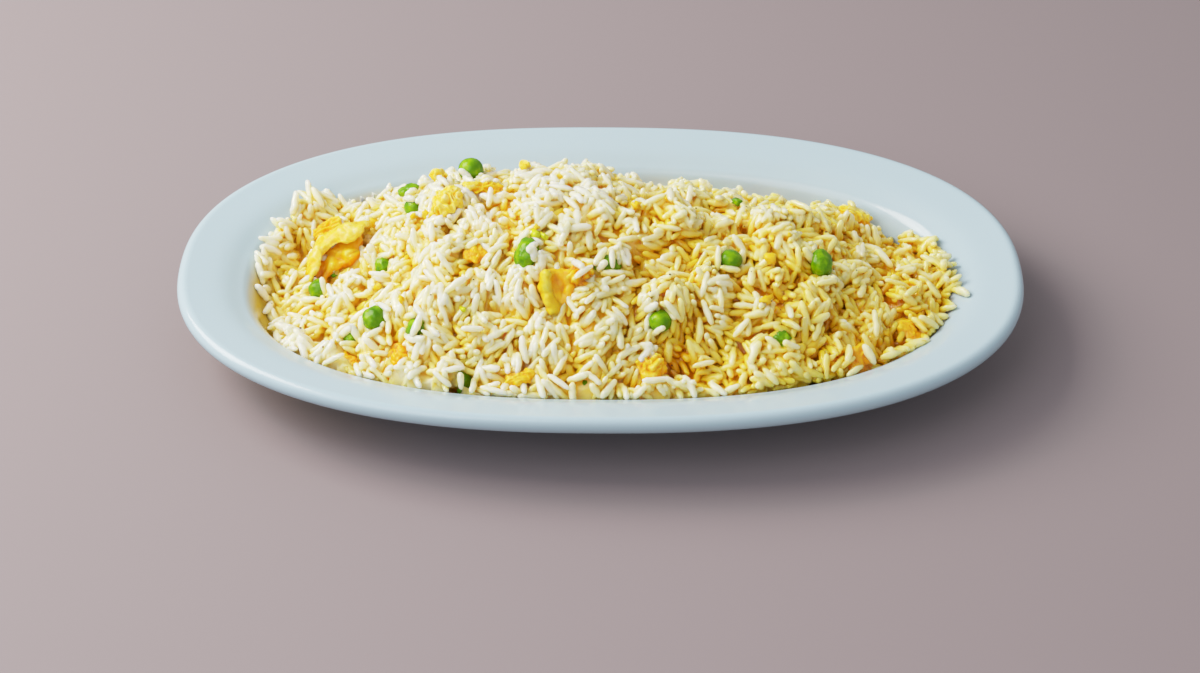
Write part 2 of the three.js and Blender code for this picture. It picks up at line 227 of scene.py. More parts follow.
# ---- peas, egg and crumbs ----
# Each pea: how wrinkled it is, how deep a groove it has, where its top is cut, and how much
# wider and taller it is, seen from the front.
PEA_FORMS = {
    "pea_01": (0.015, 0, 1, 1, 1),
    "pea_02": (0.05, 0.2, 0.3, 1.1, 1), "pea_03": (0.03, 0, 1, 1.05, 1),
    "pea_04": (0.07, 0.24, 1, 0.95, 1.25), "pea_05": (0.04, 0, 1, 1.2, 0.9),
    "pea_06": (0.03, 0, 1, 1.05, 0.95), "pea_07": (0.07, 0.1, 1, 0.86, 1.16),
    "pea_08": (0.03, 0, 1, 1, 0.95), "pea_09": (0.25, 0.25, 1, 1, 1),
    "pea_10": (0.02, 0, 1, 1.1, 1.1), "pea_11": (0.06, 0, 1, 1.1, 1.1),
    "pea_12": (0.07, 0.05, 1, 1.02, 1.08), "pea_13": (0.06, 0, 1, 1, 1.1),
    "pea_14": (0.12, 0.1, 1, 1, 1), "pea_15": (0.09, 0.1, 1, 1, 1),
    "pea_16": (0.12, 0, 1, 1, 1),
}

LEFT_SHEET = (                     # back, ridge and front lip of the sheet, from West to East
    ((-103, 8, 16.5), (-102, 5, 18.6), (-100, 1, 18.2)),
    ((-101, 16, 20), (-99, 11, 24), (-98, 5, 21.8)),
    ((-97, 20, 22.5), (-95.5, 15, 27.2), (-95.5, 9, 25)),
    ((-91, 21.5, 25), (-91, 16, 29.6), (-91.5, 10, 27.6)),
    ((-85, 21.5, 27.5), (-85.5, 16, 31.8), (-86.5, 9.5, 29.4)),
    ((-81, 20.5, 29), (-82, 16, 32), (-83.5, 11.5, 30.6)),
)
INNER_WALL = (                     # steps down from the front lip, to the wall under it
    (0, 5, -2.4), (0.4, 2.6, -4.6), (0.8, 0.6, -6.2), (1.4, -2, -7.4),
)
CENTRE_SLAB = (                    # across, up and towards the front from the slab's middle
    ((-4.6, 6, -0.5), (-4, 6, 1.6), (-3, 6, 1), (0.5, 6.5, -0.8), (4.5, 6.5, -0.4)),
    ((-5, 3, -0.5), (-4.2, 3, 2.2), (-3, 3, 0.8), (0, 3, -0.8), (4.5, 3, 0)),
    ((-4.6, -0.5, -0.5), (-3.8, -0.5, 2.2), (-2.6, -0.5, 0.6), (0.4, -0.5, -0.8), (4.4, -0.5, 0.2)),
    ((-4, -4, -0.5), (-3, -4, 1.9), (-2, -4, 0.5), (0.8, -4, -0.4), (4, -4, 0)),
    ((-3, -7, -1), (-2.2, -7.4, 1), (-1, -7.6, 0.4), (0.8, -7.6, -0.2), (2.6, -7, -0.6)),
)

# Each piece of egg: the direction of its ruffles seen from the front, their spacing and
# depth, and the height of its curds.
EGG_FORMS = {
    "egg_sheet_left": (35, 4, 0.5, 0.4),
    "egg_curd_left": (38, 2.6, 0.9, 0.5), "egg_curd_back": (88, 2.2, 1.6, 0.7),
    "egg_peak_back": (70, 3, 0.8, 0.7), "egg_fold_back": (8, 2.3, 0.9, 0.3),
    "egg_tip_back": (90, 2, 0.6, 0.6), "egg_patch_middle": (20, 4, 0.3, 0.5),
    "egg_slab_centre": (85, 5, 0.2, 0.3), "egg_curd_centre": (40, 3.4, 0.4, 1.3),
    "egg_curd_front": (15, 2.2, 0.4, 1.2), "egg_curd_far_right": (-40, 3, 0.9, 0.6),
    "egg_piece_right": (-30, 3, 0.6, 0.4), "egg_sheet_right": (60, 3.5, 0.8, 0.4),
    "egg_fold_front": (10, 2, 0.7, 0.4), "egg_deep_left": (60, 3, 0.5, 0.6),
    "egg_deep_corner": (0, 3, 0.5, 0.6),
}

EGG_LEVELS = 4                     # how many times a plain piece of egg is subdivided
EGG_SWELL = 0.2                    # all egg is this much fatter than its node
WARP_SIZE, CURD_SIZE, CRUMB_SIZE, BULGE_SIZE = 4, 2.8, 0.9, 5   # patches of its relief
RUFFLE, CURD, CRUMB, BULGE = 1.4, 0.8, 0.14, 0.8   # and their heights, in a form of 1
DRAWN_OUT = 0.65                   # their pattern is shrunk by this share along the ruffles
SHEET_STEPS = 9                    # points between two given ones of a folded sheet
BUCKLE, BUCKLE_SIZE = 1.2, 4.5     # how far, and in patches how large, it buckles
EGG_YELLOW = 0.1                   # of plain pieces; folded ones have their own for each sheet
PAINTED_TOP_HIGHLIGHT = 0.25                   # painted highlight: egg is this much paler for each millimetre that it rises

CRUMB_YELLOW = 0.2                 # of all that is strewn, except the pepper
EGG_CRUMBS = (                     # x, y and height, and half their size
    (57, -17, 42, 1.9), (9, 2, 50, 2.2), (12, 2, 50, 1.6), (55, -31, 35, 2.2), (59, -31, 35, 1.6),
    (-21, -11, 50, 1.3), (64, -2, 41, 1.2), (-75, -20, 32, 1.6), (-99, 12, 20, 1.5),
    (-66, -25, 30, 1.4), (-80, 20, 30, 2.0), (-84, 22, 28, 1.6), (30, -42, 33, 1.8),
    (96, -34, 24, 1.6), (-60, 8, 42, 1.6), (-64, 10, 40, 1.3),
)
GREEN_SHREDS = ((47, 14, 44, 1.8), (-93, 4, 19, 1.3))
ONION_SHREDS = ((-21.5, -12, 47.3, 2.1), (-18.5, -12, 47, 1.5), (-45, -31, 31, 1.3))
SPECKS = 70                        # flakes of pepper, let down from within this box
SPECKS_BOX = ((-115, -60, 40), (115, 30, 41))
SPECK_SIZE = (0.2, 0.36)

ABOVE_ALL = 300                    # millimetres, well over the whole dish
EMPTY = -1e3                       # height of a cell with nothing in it
NOISE_SEED = 1795525245            # for noise_vector, which else takes its seed from the clock
GOLDEN_ANGLE = 2.399963            # radians, spreads turns evenly

rng = np.random.default_rng(7)
noise.seed_set(NOISE_SEED)


# ---- small helpers ----
def linear(code):
    """An sRGB hex colour as linear RGBA."""
    parts = [int(code[i:i + 2], 16) / 255 for i in (1, 3, 5)]
    return (*[c / 12.92 if c <= 0.04045 else ((c + 0.055) / 1.055) ** 2.4 for c in parts], 1.0)


def add(tree, kind, inputs=None, **settings):
    """Adds a node. An input is given a value, or the output socket it is linked from."""
    node = tree.nodes.new(kind)
    for name, value in settings.items():
        setattr(node, name, value)
    for name, value in (inputs or {}).items():
        if isinstance(value, bpy.types.NodeSocket):
            tree.links.new(value, node.inputs[name])
        else:
            node.inputs[name].default_value = value
    return node


def unit(vectors):
    """Each vector at length 1."""
    return vectors / np.maximum(np.linalg.norm(vectors, axis=-1, keepdims=True), 1e-9)


# ---- materials' nodes ----
def new_material(name):
    """An empty material and its node tree."""
    material = bpy.data.materials.new(name)
    material.use_nodes = True
    material.node_tree.nodes.clear()
    return material, material.node_tree


def finish_material(tree, **inputs):
    """Ends a material in one shader. Underscores in the inputs' names stand for spaces."""
    shader = add(tree, "ShaderNodeBsdfPrincipled",
                 {name.replace("_", " "): value for name, value in inputs.items()})
    add(tree, "ShaderNodeOutputMaterial", {"Surface": shader.outputs["BSDF"]})


def cloud(tree, size, detail=2):
    """A soft random pattern with patches about as large as size, in millimetres."""
    where = add(tree, "ShaderNodeTexCoord").outputs["Object"]
    pattern = add(tree, "ShaderNodeTexNoise", {
        "Vector": where, "Scale": 1 / (size * MM), "Detail": detail,
    })
    return pattern.outputs["Fac"]


def relief_of(tree, size, detail, strength, height):
    """A fine relief, its lumps of this size and height in millimetres."""
    bump = add(tree, "ShaderNodeBump", {
        "Height": cloud(tree, size, detail), "Strength": strength, "Distance": height * MM,
    })
    return bump.outputs["Normal"]


def ramp(tree, factor, stops):
    """A colour ramp through (position, hex colour) stops."""
    node = add(tree, "ShaderNodeValToRGB", {"Fac": factor})
    points = node.color_ramp.elements
    while len(points) < len(stops):
        points.new(0.5)
    for point, (position, code) in zip(points, stops):
        point.position = position
        point.color = linear(code)
    return node.outputs["Color"]


# ---- meshes and pieces ----
def linked(name, data):
    """A new object in the scene."""
    thing = bpy.data.objects.new(name, data)
    bpy.context.scene.collection.objects.link(thing)
    return thing


def as_object(name, mesh, material, smooth=True):
    """A finished mesh as an object of one material."""
    mesh.name = name
    mesh.materials.clear()
    mesh.materials.append(material)
    mesh.polygons.foreach_set("use_smooth", [smooth] * len(mesh.polygons))
    mesh.polygons.foreach_set("material_index", [0] * len(mesh.polygons))
    mesh.update()
    return linked(name, mesh)


def mesh_object(name, vertices, faces, material, smooth=True):
    """A mesh object from vertices in millimetres."""
    mesh = bpy.data.meshes.new(name)
    mesh.from_pydata([tuple(v) for v in np.asarray(vertices) * MM], [], faces)
    return as_object(name, mesh, material, smooth)


def as_shapes(name, forms, material):
    """A set of shapes to lay, kept out of the scene, from pairs of vertices and faces."""
    shapes = bpy.data.collections.new(name)
    for index, (vertices, faces) in enumerate(forms):
        shape = mesh_object(f"{name}_{index}", vertices, faces, material)
        bpy.context.scene.collection.objects.unlink(shape)
        shapes.objects.link(shape)
    return shapes


def rework(mesh, work):
    """Changes a mesh by a function that takes it as a bmesh."""
    built = bmesh.new()
    built.from_mesh(mesh)
    work(built)
    built.to_mesh(mesh)
    built.free()


def outcome(thing):
    """The mesh that comes out of a thing's modifiers. The thing itself goes."""
    bpy.context.view_layer.update()
    evaluated = thing.evaluated_get(bpy.context.evaluated_depsgraph_get())
    mesh = bpy.data.meshes.new_from_object(evaluated)
    bpy.data.objects.remove(thing)
    return mesh


def place(thing, slot_name, *replaced):
    """Rides a finished piece on the platter's body, in the stead of nodes of the frame."""
    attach(thing, "root")
    if replaced:
        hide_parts(*replaced)


def read(items, name, kind=float, width=3):
    """A property of all items of a mesh, such as its vertices, as an array."""
    flat = np.empty(len(items) * width, kind)
    items.foreach_get(name, flat)
    return flat.reshape(-1, width)


def vertices_of(thing):
    """A mesh's vertices in millimetres."""
    return read(thing.data.vertices, "co") / MM


def normals_of(thing):
    """The normal at each vertex of a mesh."""
    return read(thing.data.vertices, "normal")


def move_vertices(thing, points):
    """Moves a mesh's vertices to points in millimetres."""
    thing.data.vertices.foreach_set("co", (points * MM).ravel())
    thing.data.update()


def give_vertices(thing, name, values):
    """Gives each vertex a number or a vector, for a material or a node tree to read."""
    values = np.asarray(values, float)
    kind, field = ("FLOAT", "value") if values.ndim == 1 else ("FLOAT_VECTOR", "vector")
    thing.data.attributes.new(name, kind, "POINT").data.foreach_set(field, values.ravel())


# ---- height maps ----
class HeightMap:
    """Heights in millimetres over a grid of CELL millimetres that covers the platter."""

    columns = int(LENGTH / CELL) + 9
    rows = int(WIDTH / CELL) + 9
    corner = np.array([-(columns - 1) / 2 * CELL, -(rows - 1) / 2 * CELL])

    def __init__(self, heights):
        self.heights = heights
        along, across = np.gradient(heights, CELL)
        self.normals = unit(np.stack([-along, -across, np.ones_like(heights)], axis=-1))

    @classmethod
    def cast_on(cls, node):
        """The node's highest surface under each point of the grid, or NaN."""
        built = bmesh.new()
        built.from_mesh(node.data)
        tree = BVHTree.FromBMesh(built)
        built.free()
        heights = np.full((cls.columns, cls.rows), np.nan)
        for cell in np.ndindex(heights.shape):
            x, y = cls.corner + np.array(cell) * CELL
            above = Vector((x * MM, y * MM, ABOVE_ALL * MM))
            hit = tree.ray_cast(above, Vector((0, 0, -1)))[0]
            if hit is not None:
                heights[cell] = hit.z / MM
        return heights

    @classmethod
    def cells_under(cls, points):
        """The cell of the grid nearest to each point."""
        return tuple(np.rint((points[:, :2] - cls.corner) / CELL).astype(int).T)

    def at(self, points):
        """Heights and normals under points, by bilinear interpolation."""
        place_in = (points[:, :2] - self.corner) / CELL
        place_in = np.clip(place_in, 0, [self.columns - 1.001, self.rows - 1.001])
        cell = place_in.astype(int)
        share = place_in - cell
        height, normal = 0, 0
        for i, j in ((0, 0), (1, 0), (0, 1), (1, 1)):
            weight = np.abs(1 - i - share[:, 0]) * np.abs(1 - j - share[:, 1])
            corner = (cell[:, 0] + i, cell[:, 1] + j)
            height = height + weight * self.heights[corner]
            normal = normal + weight[:, None] * self.normals[corner]
        return height, unit(normal)


def spread(values, reach, pick):
    """A moving maximum or minimum over a square of reach cells each way."""
    for axis in (0, 1):
        shifted = [np.roll(values, step, axis) for step in range(-reach, reach + 1)]
        values = pick(shifted, axis=0)
    return values


def blur(values, cells):
    """A Gaussian blur that leaves out NaN."""
    reach = int(cells * 3)
    weights = np.exp(-0.5 * (np.arange(-reach, reach + 1) / cells) ** 2)
    known = (~np.isnan(values)).astype(float)
    total = np.nan_to_num(values)
    for axis in (0, 1):
        total, known = (
            sum(w * np.roll(grid, step, axis) for step, w in zip(range(-reach, reach + 1), weights))
            for grid in (total, known)
        )
    return total / np.maximum(known, 1e-9)


# ---- materials ----
def porcelain():
    """Glazed porcelain: fired clay under clear glass, white with a faint cool cast, with soft
    reflections, and yellow down the well's side by the rice."""
    material, tree = new_material("Glazed porcelain")
    well_yellow = add(tree, "ShaderNodeAttribute", attribute_name="well_yellow").outputs["Fac"]
    colour = add(tree, "ShaderNodeMix", {
        "Factor": well_yellow, "A": linear("#ADC4CE"), "B": linear("#CDAF3C"),
    }, data_type="RGBA")
    finish_material(tree, Base_Color=colour.outputs["Result"], Roughness=0.14, IOR=1.5,
                    Normal=relief_of(tree, 14, 2, 0.12, 0.15))
    return material


def cooked_rice():
    """Cooked long-grain rice fried with egg: starchy and a little clear, so light soaks in and comes
    out warm; its own tint, with painted shade that makes it deeper yellow where it lies deep, shut in
    or creased, and whiter where it stands out."""
    material, tree = new_material("Fried rice")
    # Its attribute holds the rice's own tint together with painted shade and painted side light; the
    # ramp turns it from pale cream to a deeper, darker yellow.
    yellow_and_shade = add(tree, "ShaderNodeAttribute", attribute_name="yellow_and_shade").outputs["Fac"]
    uneven = add(tree, "ShaderNodeMath", {0: cloud(tree, 3, 3), 1: 0.14, 2: -0.07},
                 operation="MULTIPLY_ADD")
    mixed = add(tree, "ShaderNodeMath", {0: yellow_and_shade, 1: uneven.outputs[0]}, operation="ADD")
    colour = ramp(tree, mixed.outputs[0], [
        (0.0, "#FBF0D0"), (0.18, "#FDEAB6"), (0.36, "#FEDD86"), (0.57, "#FFCC44"), (0.8, "#FFBC1C"),
        (1.0, "#E49C06"),
    ])
    finish_material(tree, Base_Color=colour, Roughness=0.13, IOR=1.5, Subsurface_Weight=1.0,
                    Subsurface_Radius=(1.0, 0.88, 0.5), Subsurface_Scale=4.2 * MM,
                    Normal=relief_of(tree, 0.9, 2, 0.1, 0.1))
    return material


def set_egg():
    """Scrambled egg: soft curds set in a hot pan, deep yellow, moist, with a fine open crumb."""
    material, tree = new_material("Scrambled egg")
    # Its attribute holds the egg's own yellow with painted shade in depths and creases and painted
    # highlights on raised tops and lit edges.
    yellow_and_shade = add(tree, "ShaderNodeAttribute", attribute_name="yellow_and_shade").outputs["Fac"]
    mixed = add(tree, "ShaderNodeMath", {0: cloud(tree, 2.5, 4), 1: 0.5, 2: yellow_and_shade},
                operation="MULTIPLY_ADD")
    colour = ramp(tree, mixed.outputs[0], [
        (0.12, "#FFEDA8"), (0.28, "#FFD344"), (0.46, "#FFBE10"), (0.72, "#FFAA0A"), (1.0, "#CE7C04"),
    ])
    finish_material(tree, Base_Color=colour, Roughness=0.36, IOR=1.42, Subsurface_Weight=0.7,
                    Subsurface_Radius=(1.0, 0.85, 0.3), Subsurface_Scale=1.5 * MM,
                    Normal=relief_of(tree, 0.9, 4, 0.6, 0.35))
    return material


def pea_skin():
    """Cooked garden peas: a thin smooth skin, wet and bright, over a paler green inside."""
    material, tree = new_material("Cooked pea skin")
    colour = ramp(tree, cloud(tree, 3.5, 3), [(0.25, "#406E00"), (0.5, "#608E00"), (0.72, "#8AB402")])
    finish_material(tree, Base_Color=colour, Roughness=0.1, IOR=1.3, Subsurface_Weight=0.15,
                    Subsurface_Radius=(0.5, 1.0, 0.12), Subsurface_Scale=1.0 * MM,
                    Normal=relief_of(tree, 0.8, 2, 0.2, 0.12))
    return material


def spring_onion():
    """Spring onion, soft from the pan: yellow green and wet."""
    material, tree = new_material("Spring onion")
    finish_material(tree, Base_Color=linear("#D2DC1E"), Roughness=0.25, Subsurface_Weight=0.6,
                    Subsurface_Radius=(0.7, 1.0, 0.15), Subsurface_Scale=1.2 * MM)
    return material


def ground_pepper():
    """Ground black pepper: tiny dull flakes."""
    material, tree = new_material("Ground pepper")
    colour = ramp(tree, cloud(tree, 4), [(0.35, "#2A1C10"), (0.65, "#6B4420")])
    finish_material(tree, Base_Color=colour, Roughness=0.7)
    return material


def pale_floor():
    """A matt painted board."""
    material, tree = new_material("Matt pale board")
    finish_material(tree, Base_Color=linear("#897D7E"), Roughness=0.85)
    return material


# ---- the platter ----
def oval_point(inset, angle):
    """A point of the oval, inset from the lip's outer edge."""
    half = (LENGTH / 2 - inset, WIDTH / 2 - inset * RIM_SIDE_SHARE)
    turn = (math.cos(angle), math.sin(angle))
    return [h * math.copysign(abs(t) ** (2 / p), t) for h, t, p in zip(half, turn, OVAL_POWERS)]


def smooth_line(points, steps):
    """A line through points, rounded by a Catmull-Rom curve."""
    points = np.asarray(points, float)
    padded = np.vstack([2 * points[0] - points[1], points, 2 * points[-1] - points[-2]])
    line = []
    for i in range(1, len(padded) - 2):
        a, b, c, d = padded[i - 1:i + 3]
        for t in np.arange(steps) / steps:
            line.append(0.5 * (2 * b + (c - a) * t + (2 * a - 5 * b + 4 * c - d) * t ** 2
                               + (3 * b - a - 3 * c + d) * t ** 3))
    return line + [points[-1]]


def platter_profile():
    """[inset, height] from the middle of the underside, round the lip, to the well's floor."""
    radius = LIP_THICKNESS / 2
    under = HEIGHT - LIP_THICKNESS
    foot = [[42, 2], [41.3, 1.9], [40.4, 1.0], [40, 0.35], [39.5, 0], [34.5, 0], [33.8, 0.4],
            [33.3, 1.2], [33, 2.4]]
    below = smooth_line([[33, 2.4], [25.6, 7.5], [20.6, under - 6.5], [14.6, under - 3.4],
                         [radius + 2.4, under - 0.5]], 5)
    turns = [math.radians(270 - 15 * i) for i in range(1, 13)]
    lip = [[radius + radius * math.cos(a), HEIGHT - radius + radius * math.sin(a)] for a in turns]
    above = smooth_line([[radius + 1, HEIGHT - 0.25], [(LIP_THICKNESS + RIM_END) / 2, 25.2],
                         [RIM_END - 2.5, RIM_FOOT + 0.8], [RIM_END, RIM_FOOT - 0.5],
                         [RIM_END + 2, RIM_FOOT - 2.6], [RIM_END + 4.2, RIM_FOOT - 7],
                         [RIM_END + 6.6, RIM_FOOT - 11.4], [RIM_END + 9.4, WELL_FLOOR + 2],
                         [RIM_END + 13, WELL_FLOOR + 0.5], [RIM_END + 19, WELL_FLOOR]], 5)
    return foot + below + lip + above


def well_side_yellow(vertices):
    """Share of yellow on the well's side, strongest low down and at the left."""
    x, _, z = vertices.T
    low = np.clip((RIM_FOOT - 0.6 - z) / 5, 0, 1)
    left = np.clip((-55 - x) / 45, 0, 1)
    return low * (z > WELL_FLOOR - 0.01) * left


def make_platter(material):
    """The platter as a smooth shell, turned through its profile."""
    sides = 192
    profile = platter_profile()
    vertices, faces = [(0, 0, 2.0)], []
    for inset, z in profile:
        for k in range(sides):
            vertices.append((*oval_point(inset, 2 * math.pi * k / sides), z))
    vertices.append((0, 0, WELL_FLOOR))
    for k in range(sides):
        after = (k + 1) % sides
        faces.append((0, 1 + after, 1 + k))
        for ring in range(len(profile) - 1):
            low, high = 1 + ring * sides, 1 + (ring + 1) * sides
            faces.append((low + k, low + after, high + after, high + k))
        last = 1 + (len(profile) - 1) * sides
        faces.append((last + k, last + after, len(vertices) - 1))
    platter = mesh_object("platter_porcelain", vertices, faces, material)
    give_vertices(platter, "well_yellow", well_side_yellow(np.array(vertices)))
    return platter


# ---- the heap's surface ----
def scattered_middles(gap):
    """Points over the platter, no two closer than the gap."""
    middles = np.empty((0, 2))
    for point in rng.uniform(HeightMap.corner, -HeightMap.corner, (5000, 2)):
        if not len(middles) or np.hypot(*(middles - point).T).min() > gap:
            middles = np.vstack([middles, point])
    return middles


def clump_map(middles):
    """For each cell, the clump it belongs to and its distance to the clump's border."""
    wander = np.array([
        [noise.noise_vector(Vector((x / WANDER_SIZE, y / WANDER_SIZE, 3)))[:2] for x, y in row]
        for row in flat_cells
    ])
    reach = flat_cells + WANDER * wander
    gaps = np.linalg.norm(reach[:, :, None] - middles, axis=-1)
    order = np.argpartition(gaps, 1, axis=-1)[..., :2]
    nearest = np.take_along_axis(gaps, order, axis=-1)
    return order[..., 0], nearest[..., 1] - nearest[..., 0]


def hollows_at(flat):
    """How much each of the heap's hollows lowers points over the platter."""
    for x, y, radius, depth in HOLLOWS:
        away = np.hypot(flat[..., 0] - x, flat[..., 1] - y)
        yield depth * np.exp(-(away / radius) ** 2)


def relief():
    """Clumps at odd heights with creases between them, and the deeper hollows."""
    steps = rng.normal(0, CLUMP_STEP, len(clump_middles))[clump_of]
    crease = CLUMP * (np.clip(border / CREASE_REACH, 0, 1) ** CREASE_CURVE - CREASE_LEVEL)
    fine = blur(rng.normal(size=footprint.shape), UNEVEN_BLUR)
    raised = blur(steps + crease, 1.1) + UNEVEN * fine / fine.std()
    for hollow in hollows_at(flat_cells):
        raised = raised - hollow
    return raised


def crest_drop():
    """How far each cell sinks so that the settled heap's outline comes out right."""
    seen = flat_cells[..., 1] * UPWARDS[1] + filled * UPWARDS[2]
    outline = np.where(footprint, seen, EMPTY).max(axis=1, keepdims=True)
    near = np.clip(1 - (outline - seen) / CREST_BAND, 0, 1)
    return near * np.interp(flat_cells[..., 0], *zip(*CREST))


# ---- peas and egg in the frame ----
def shell_of(names):
    """A search tree of several nodes' surfaces, at the size they swell to."""
    joined = bmesh.new()
    for name in names:
        before = len(joined.verts)
        joined.from_mesh(nodes[name].data)
        joined.verts.ensure_lookup_table()
        own = joined.verts[before:]
        middle = Vector([(max(v.co[k] for v in own) + min(v.co[k] for v in own)) / 2
                         for k in range(3)])
        for vertex in own:
            vertex.co = middle + GROWN.get(name, 1) * (vertex.co - middle)
    shell = BVHTree.FromBMesh(joined)
    joined.free()
    return shell


def ellipsoid_of(node):
    """Middle, directions and radii of a pea in the frame."""
    points = vertices_of(node)
    points = np.unique(points.round(4), axis=0)
    middle = points.mean(0)
    spreads, directions = np.linalg.eigh(np.cov((points - middle).T, bias=True))
    return middle, directions, np.sqrt(3 * spreads)


# ---- grains before they settle ----
def scatter(count, shallow, deep):
    """Points spread over the heap's surface, and how deep under it they lie."""
    inside = np.argwhere(inner > 0.45)
    slope = 1 / surface.normals[inside[:, 0], inside[:, 1], 2]
    picked = inside[rng.choice(len(inside), count, p=slope / slope.sum())]
    flat = HeightMap.corner + (picked + rng.uniform(-0.5, 0.5, picked.shape)) * CELL
    height, normal = surface.at(flat)
    depth = rng.uniform(shallow, deep, count)
    at = np.column_stack([flat, height]) - normal * depth[:, None]
    return at, normal, depth, clump_of[picked[:, 0], picked[:, 1]]


def grain_directions(normal, clump):
    """Mostly along the surface, alike within a clump, with a few standing up."""
    count = len(normal)
    heading = rng.uniform(0, math.pi, len(clump_middles))[clump]
    heading = heading + rng.normal(0, HEADING_SPREAD, count)
    side = unit(np.cross(normal, [0.0, 0.0, 1.0]) + [1e-3, 0, 0])
    up_slope = np.cross(side, normal)
    tilt = np.where(rng.random(count) < STANDING_SHARE, rng.uniform(*STANDING_TILT, count),
                    rng.normal(0, LYING_TILT, count))
    flat = side * np.cos(heading)[:, None] + up_slope * np.sin(heading)[:, None]
    return unit(flat * np.cos(tilt)[:, None] + normal * np.sin(tilt)[:, None])


def scattered_grains():
    """The grains of every layer before they settle."""
    at, normal, depth, clump = (
        np.concatenate(column) for column in zip(*(scatter(*layer) for layer in LAYERS))
    )
    count = len(at)
    broken = rng.random(count) < BROKEN_SHARE
    return {
        "at": at, "axis": grain_directions(normal, clump), "depth": depth, "clump": clump,
        "length": np.where(broken, rng.uniform(*BROKEN_LENGTH, count),
                           rng.uniform(*GRAIN_LENGTH, count)),
        "radius": rng.uniform(*GRAIN_WIDTH, count) / 2, "loose": np.ones(count),
    }


def let_down(start, middle, reach, girth):
    """Where a grain comes to rest, let down onto a pea or the rice along the line of sight,
    and which way is out of what it rests on."""
    steps = np.arange(*LET_DOWN)
    line = start + steps[:, None] * TOWARDS
    height, normal = surface.at(line)
    under = (line[:, 2] - height) * normal[:, 2] < ON_RICE * girth
    first = np.argmax(under) if under.any() else len(steps) - 1
    away = np.linalg.norm(np.cross(start - middle, TOWARDS))
    on_pea = math.sqrt(reach ** 2 - away ** 2) + ON_PEA * girth if away < reach else -math.inf
    if on_pea > steps[first]:
        at = start + on_pea * TOWARDS
        return at, unit(at - middle)
    return line[first], normal[first]


def laid_grains():
    """The grains that lie on the peas and against them, and those that stand out on top."""
    wanted = [(np.array([x, y, z]), np.zeros(3), 0, turn, length)
              for x, y, z, turn, length in STRAYS]
    for name, around in AGAINST.items():
        middle, _, radii = ellipsoid_of(nodes[name])
        wanted += [(middle + across * ACROSS + up * UPWARDS, middle, radii.mean(), turn, length)
                   for across, up, turn, length in around]
    found = {key: [] for key in ("at", "axis", "length")}
    for start, middle, reach, turn, length in wanted:
        at, out = let_down(start, middle, reach, GRAIN_WIDTH[0] / 2)
        turn = math.radians(turn)
        flat = ACROSS * math.cos(turn) + UPWARDS * math.sin(turn)
        lean = np.clip((flat @ out) / max(TOWARDS @ out, 0.3), -STEEPEST, STEEPEST)
        found["at"].append(at)
        found["axis"].append(unit(flat - lean * TOWARDS))
        found["length"].append(length)
    grains = {key: np.array(values) for key, values in found.items()}
    count = len(grains["at"])
    grains.update(depth=np.zeros(count), clump=clump_of[HeightMap.cells_under(grains["at"])],
                  radius=rng.uniform(*GRAIN_WIDTH, count) / 2, loose=np.zeros(count))
    return grains


# ---- settling ----
def near_pairs(points, reach):
    """Pairs of points closer than reach."""
    order = np.argsort(points[:, 0])
    sorted_x = points[order, 0]
    ends = np.searchsorted(sorted_x, sorted_x + reach)
    firsts, seconds = [], []
    for i in range(len(points)):
        others = order[i + 1:ends[i]]
        gap = points[others] - points[order[i]]
        close = others[(gap ** 2).sum(1) < reach ** 2]
        firsts.append(np.full(len(close), order[i]))
        seconds.append(close)
    return np.concatenate(firsts), np.concatenate(seconds)


def pushes_between(grains, first, second):
    """For pairs of grains that overlap, at the closest points of their middle lines: which
    grains are pushed, how far, and how far along the grain."""
    at, axis, half, radius = (grains[key] for key in ("at", "axis", "half", "radius"))
    loose, clump = grains["loose"], grains["clump"]
    d1, d2 = axis[first], axis[second]
    between = at[first] - at[second]
    along = (d1 * d2).sum(1)
    c, f = (d1 * between).sum(1), (d2 * between).sum(1)
    s = np.clip((along * f - c) / np.maximum(1 - along ** 2, 1e-3), -half[first], half[first])
    t = np.clip(along * s + f, -half[second], half[second])
    s = np.clip(along * t - c, -half[first], half[first])
    apart = between + s[:, None] * d1 - t[:, None] * d2
    distance = np.linalg.norm(apart, axis=1)
    taper = [1 - TAPER * (u / half[k]) ** 2 for u, k in ((s, first), (t, second))]
    soft = np.where(clump[first] == clump[second], SQUASH[1], SQUASH[0])
    overlap = soft * (radius[first] * taper[0] + radius[second] * taper[1]) - distance
    touching = overlap > 0
    push = unit(apart[touching]) * overlap[touching, None]
    part = loose[first] / np.maximum(loose[first] + loose[second], 1)
    for who, sign, u, share in ((first, 1, s, part), (second, -1, t, 1 - part)):
        yield who[touching], sign * push * share[touching, None], u[touching]


def pushes_around(grains, surface, platter, toppings):
    """How far the heap's surface, the platter and the pieces lying in the rice push each
    grain at its two ends and its middle, and how far along the grain that is."""
    at, axis, half, radius, depth = (
        grains[key] for key in ("at", "axis", "half", "radius", "depth")
    )
    for share in (-1, 0, 1):
        arm = share * half
        point = at + arm[:, None] * axis
        height, normal = surface.at(point)
        out = (point[:, 2] - height) * normal[:, 2]
        limit = -depth if share == 0 else -depth + END_PLAY
        excess = np.where(out > limit, limit - out, RISE * (limit - out) * (share == 0))
        shift = normal * (HOLD * excess)[:, None]
        height, normal = platter.at(point)
        clear = (point[:, 2] - height) * normal[:, 2] - radius * (1 - TAPER * abs(share))
        shift += normal * np.maximum(-clear, 0)[:, None]
        if toppings is not None:
            shift += push_out(point, radius, toppings)
        yield shift, arm


def push_out(points, radius, tree):
    """How far each point has to move to lie against a closed shell, a little sunk in."""
    shift = np.zeros_like(points)
    for i, (point, r) in enumerate(zip(points, radius)):
        found, normal, _, distance = tree.find_nearest(Vector(point * MM), NEAR * MM)
        if found is None:
            continue
        side = (Vector(point * MM) - found).dot(normal)
        gap = distance / MM if side >= 0 else -distance / MM
        if gap < r * NESTLE:
            shift[i] = np.array(normal) * (r * NESTLE - gap)
    return shift


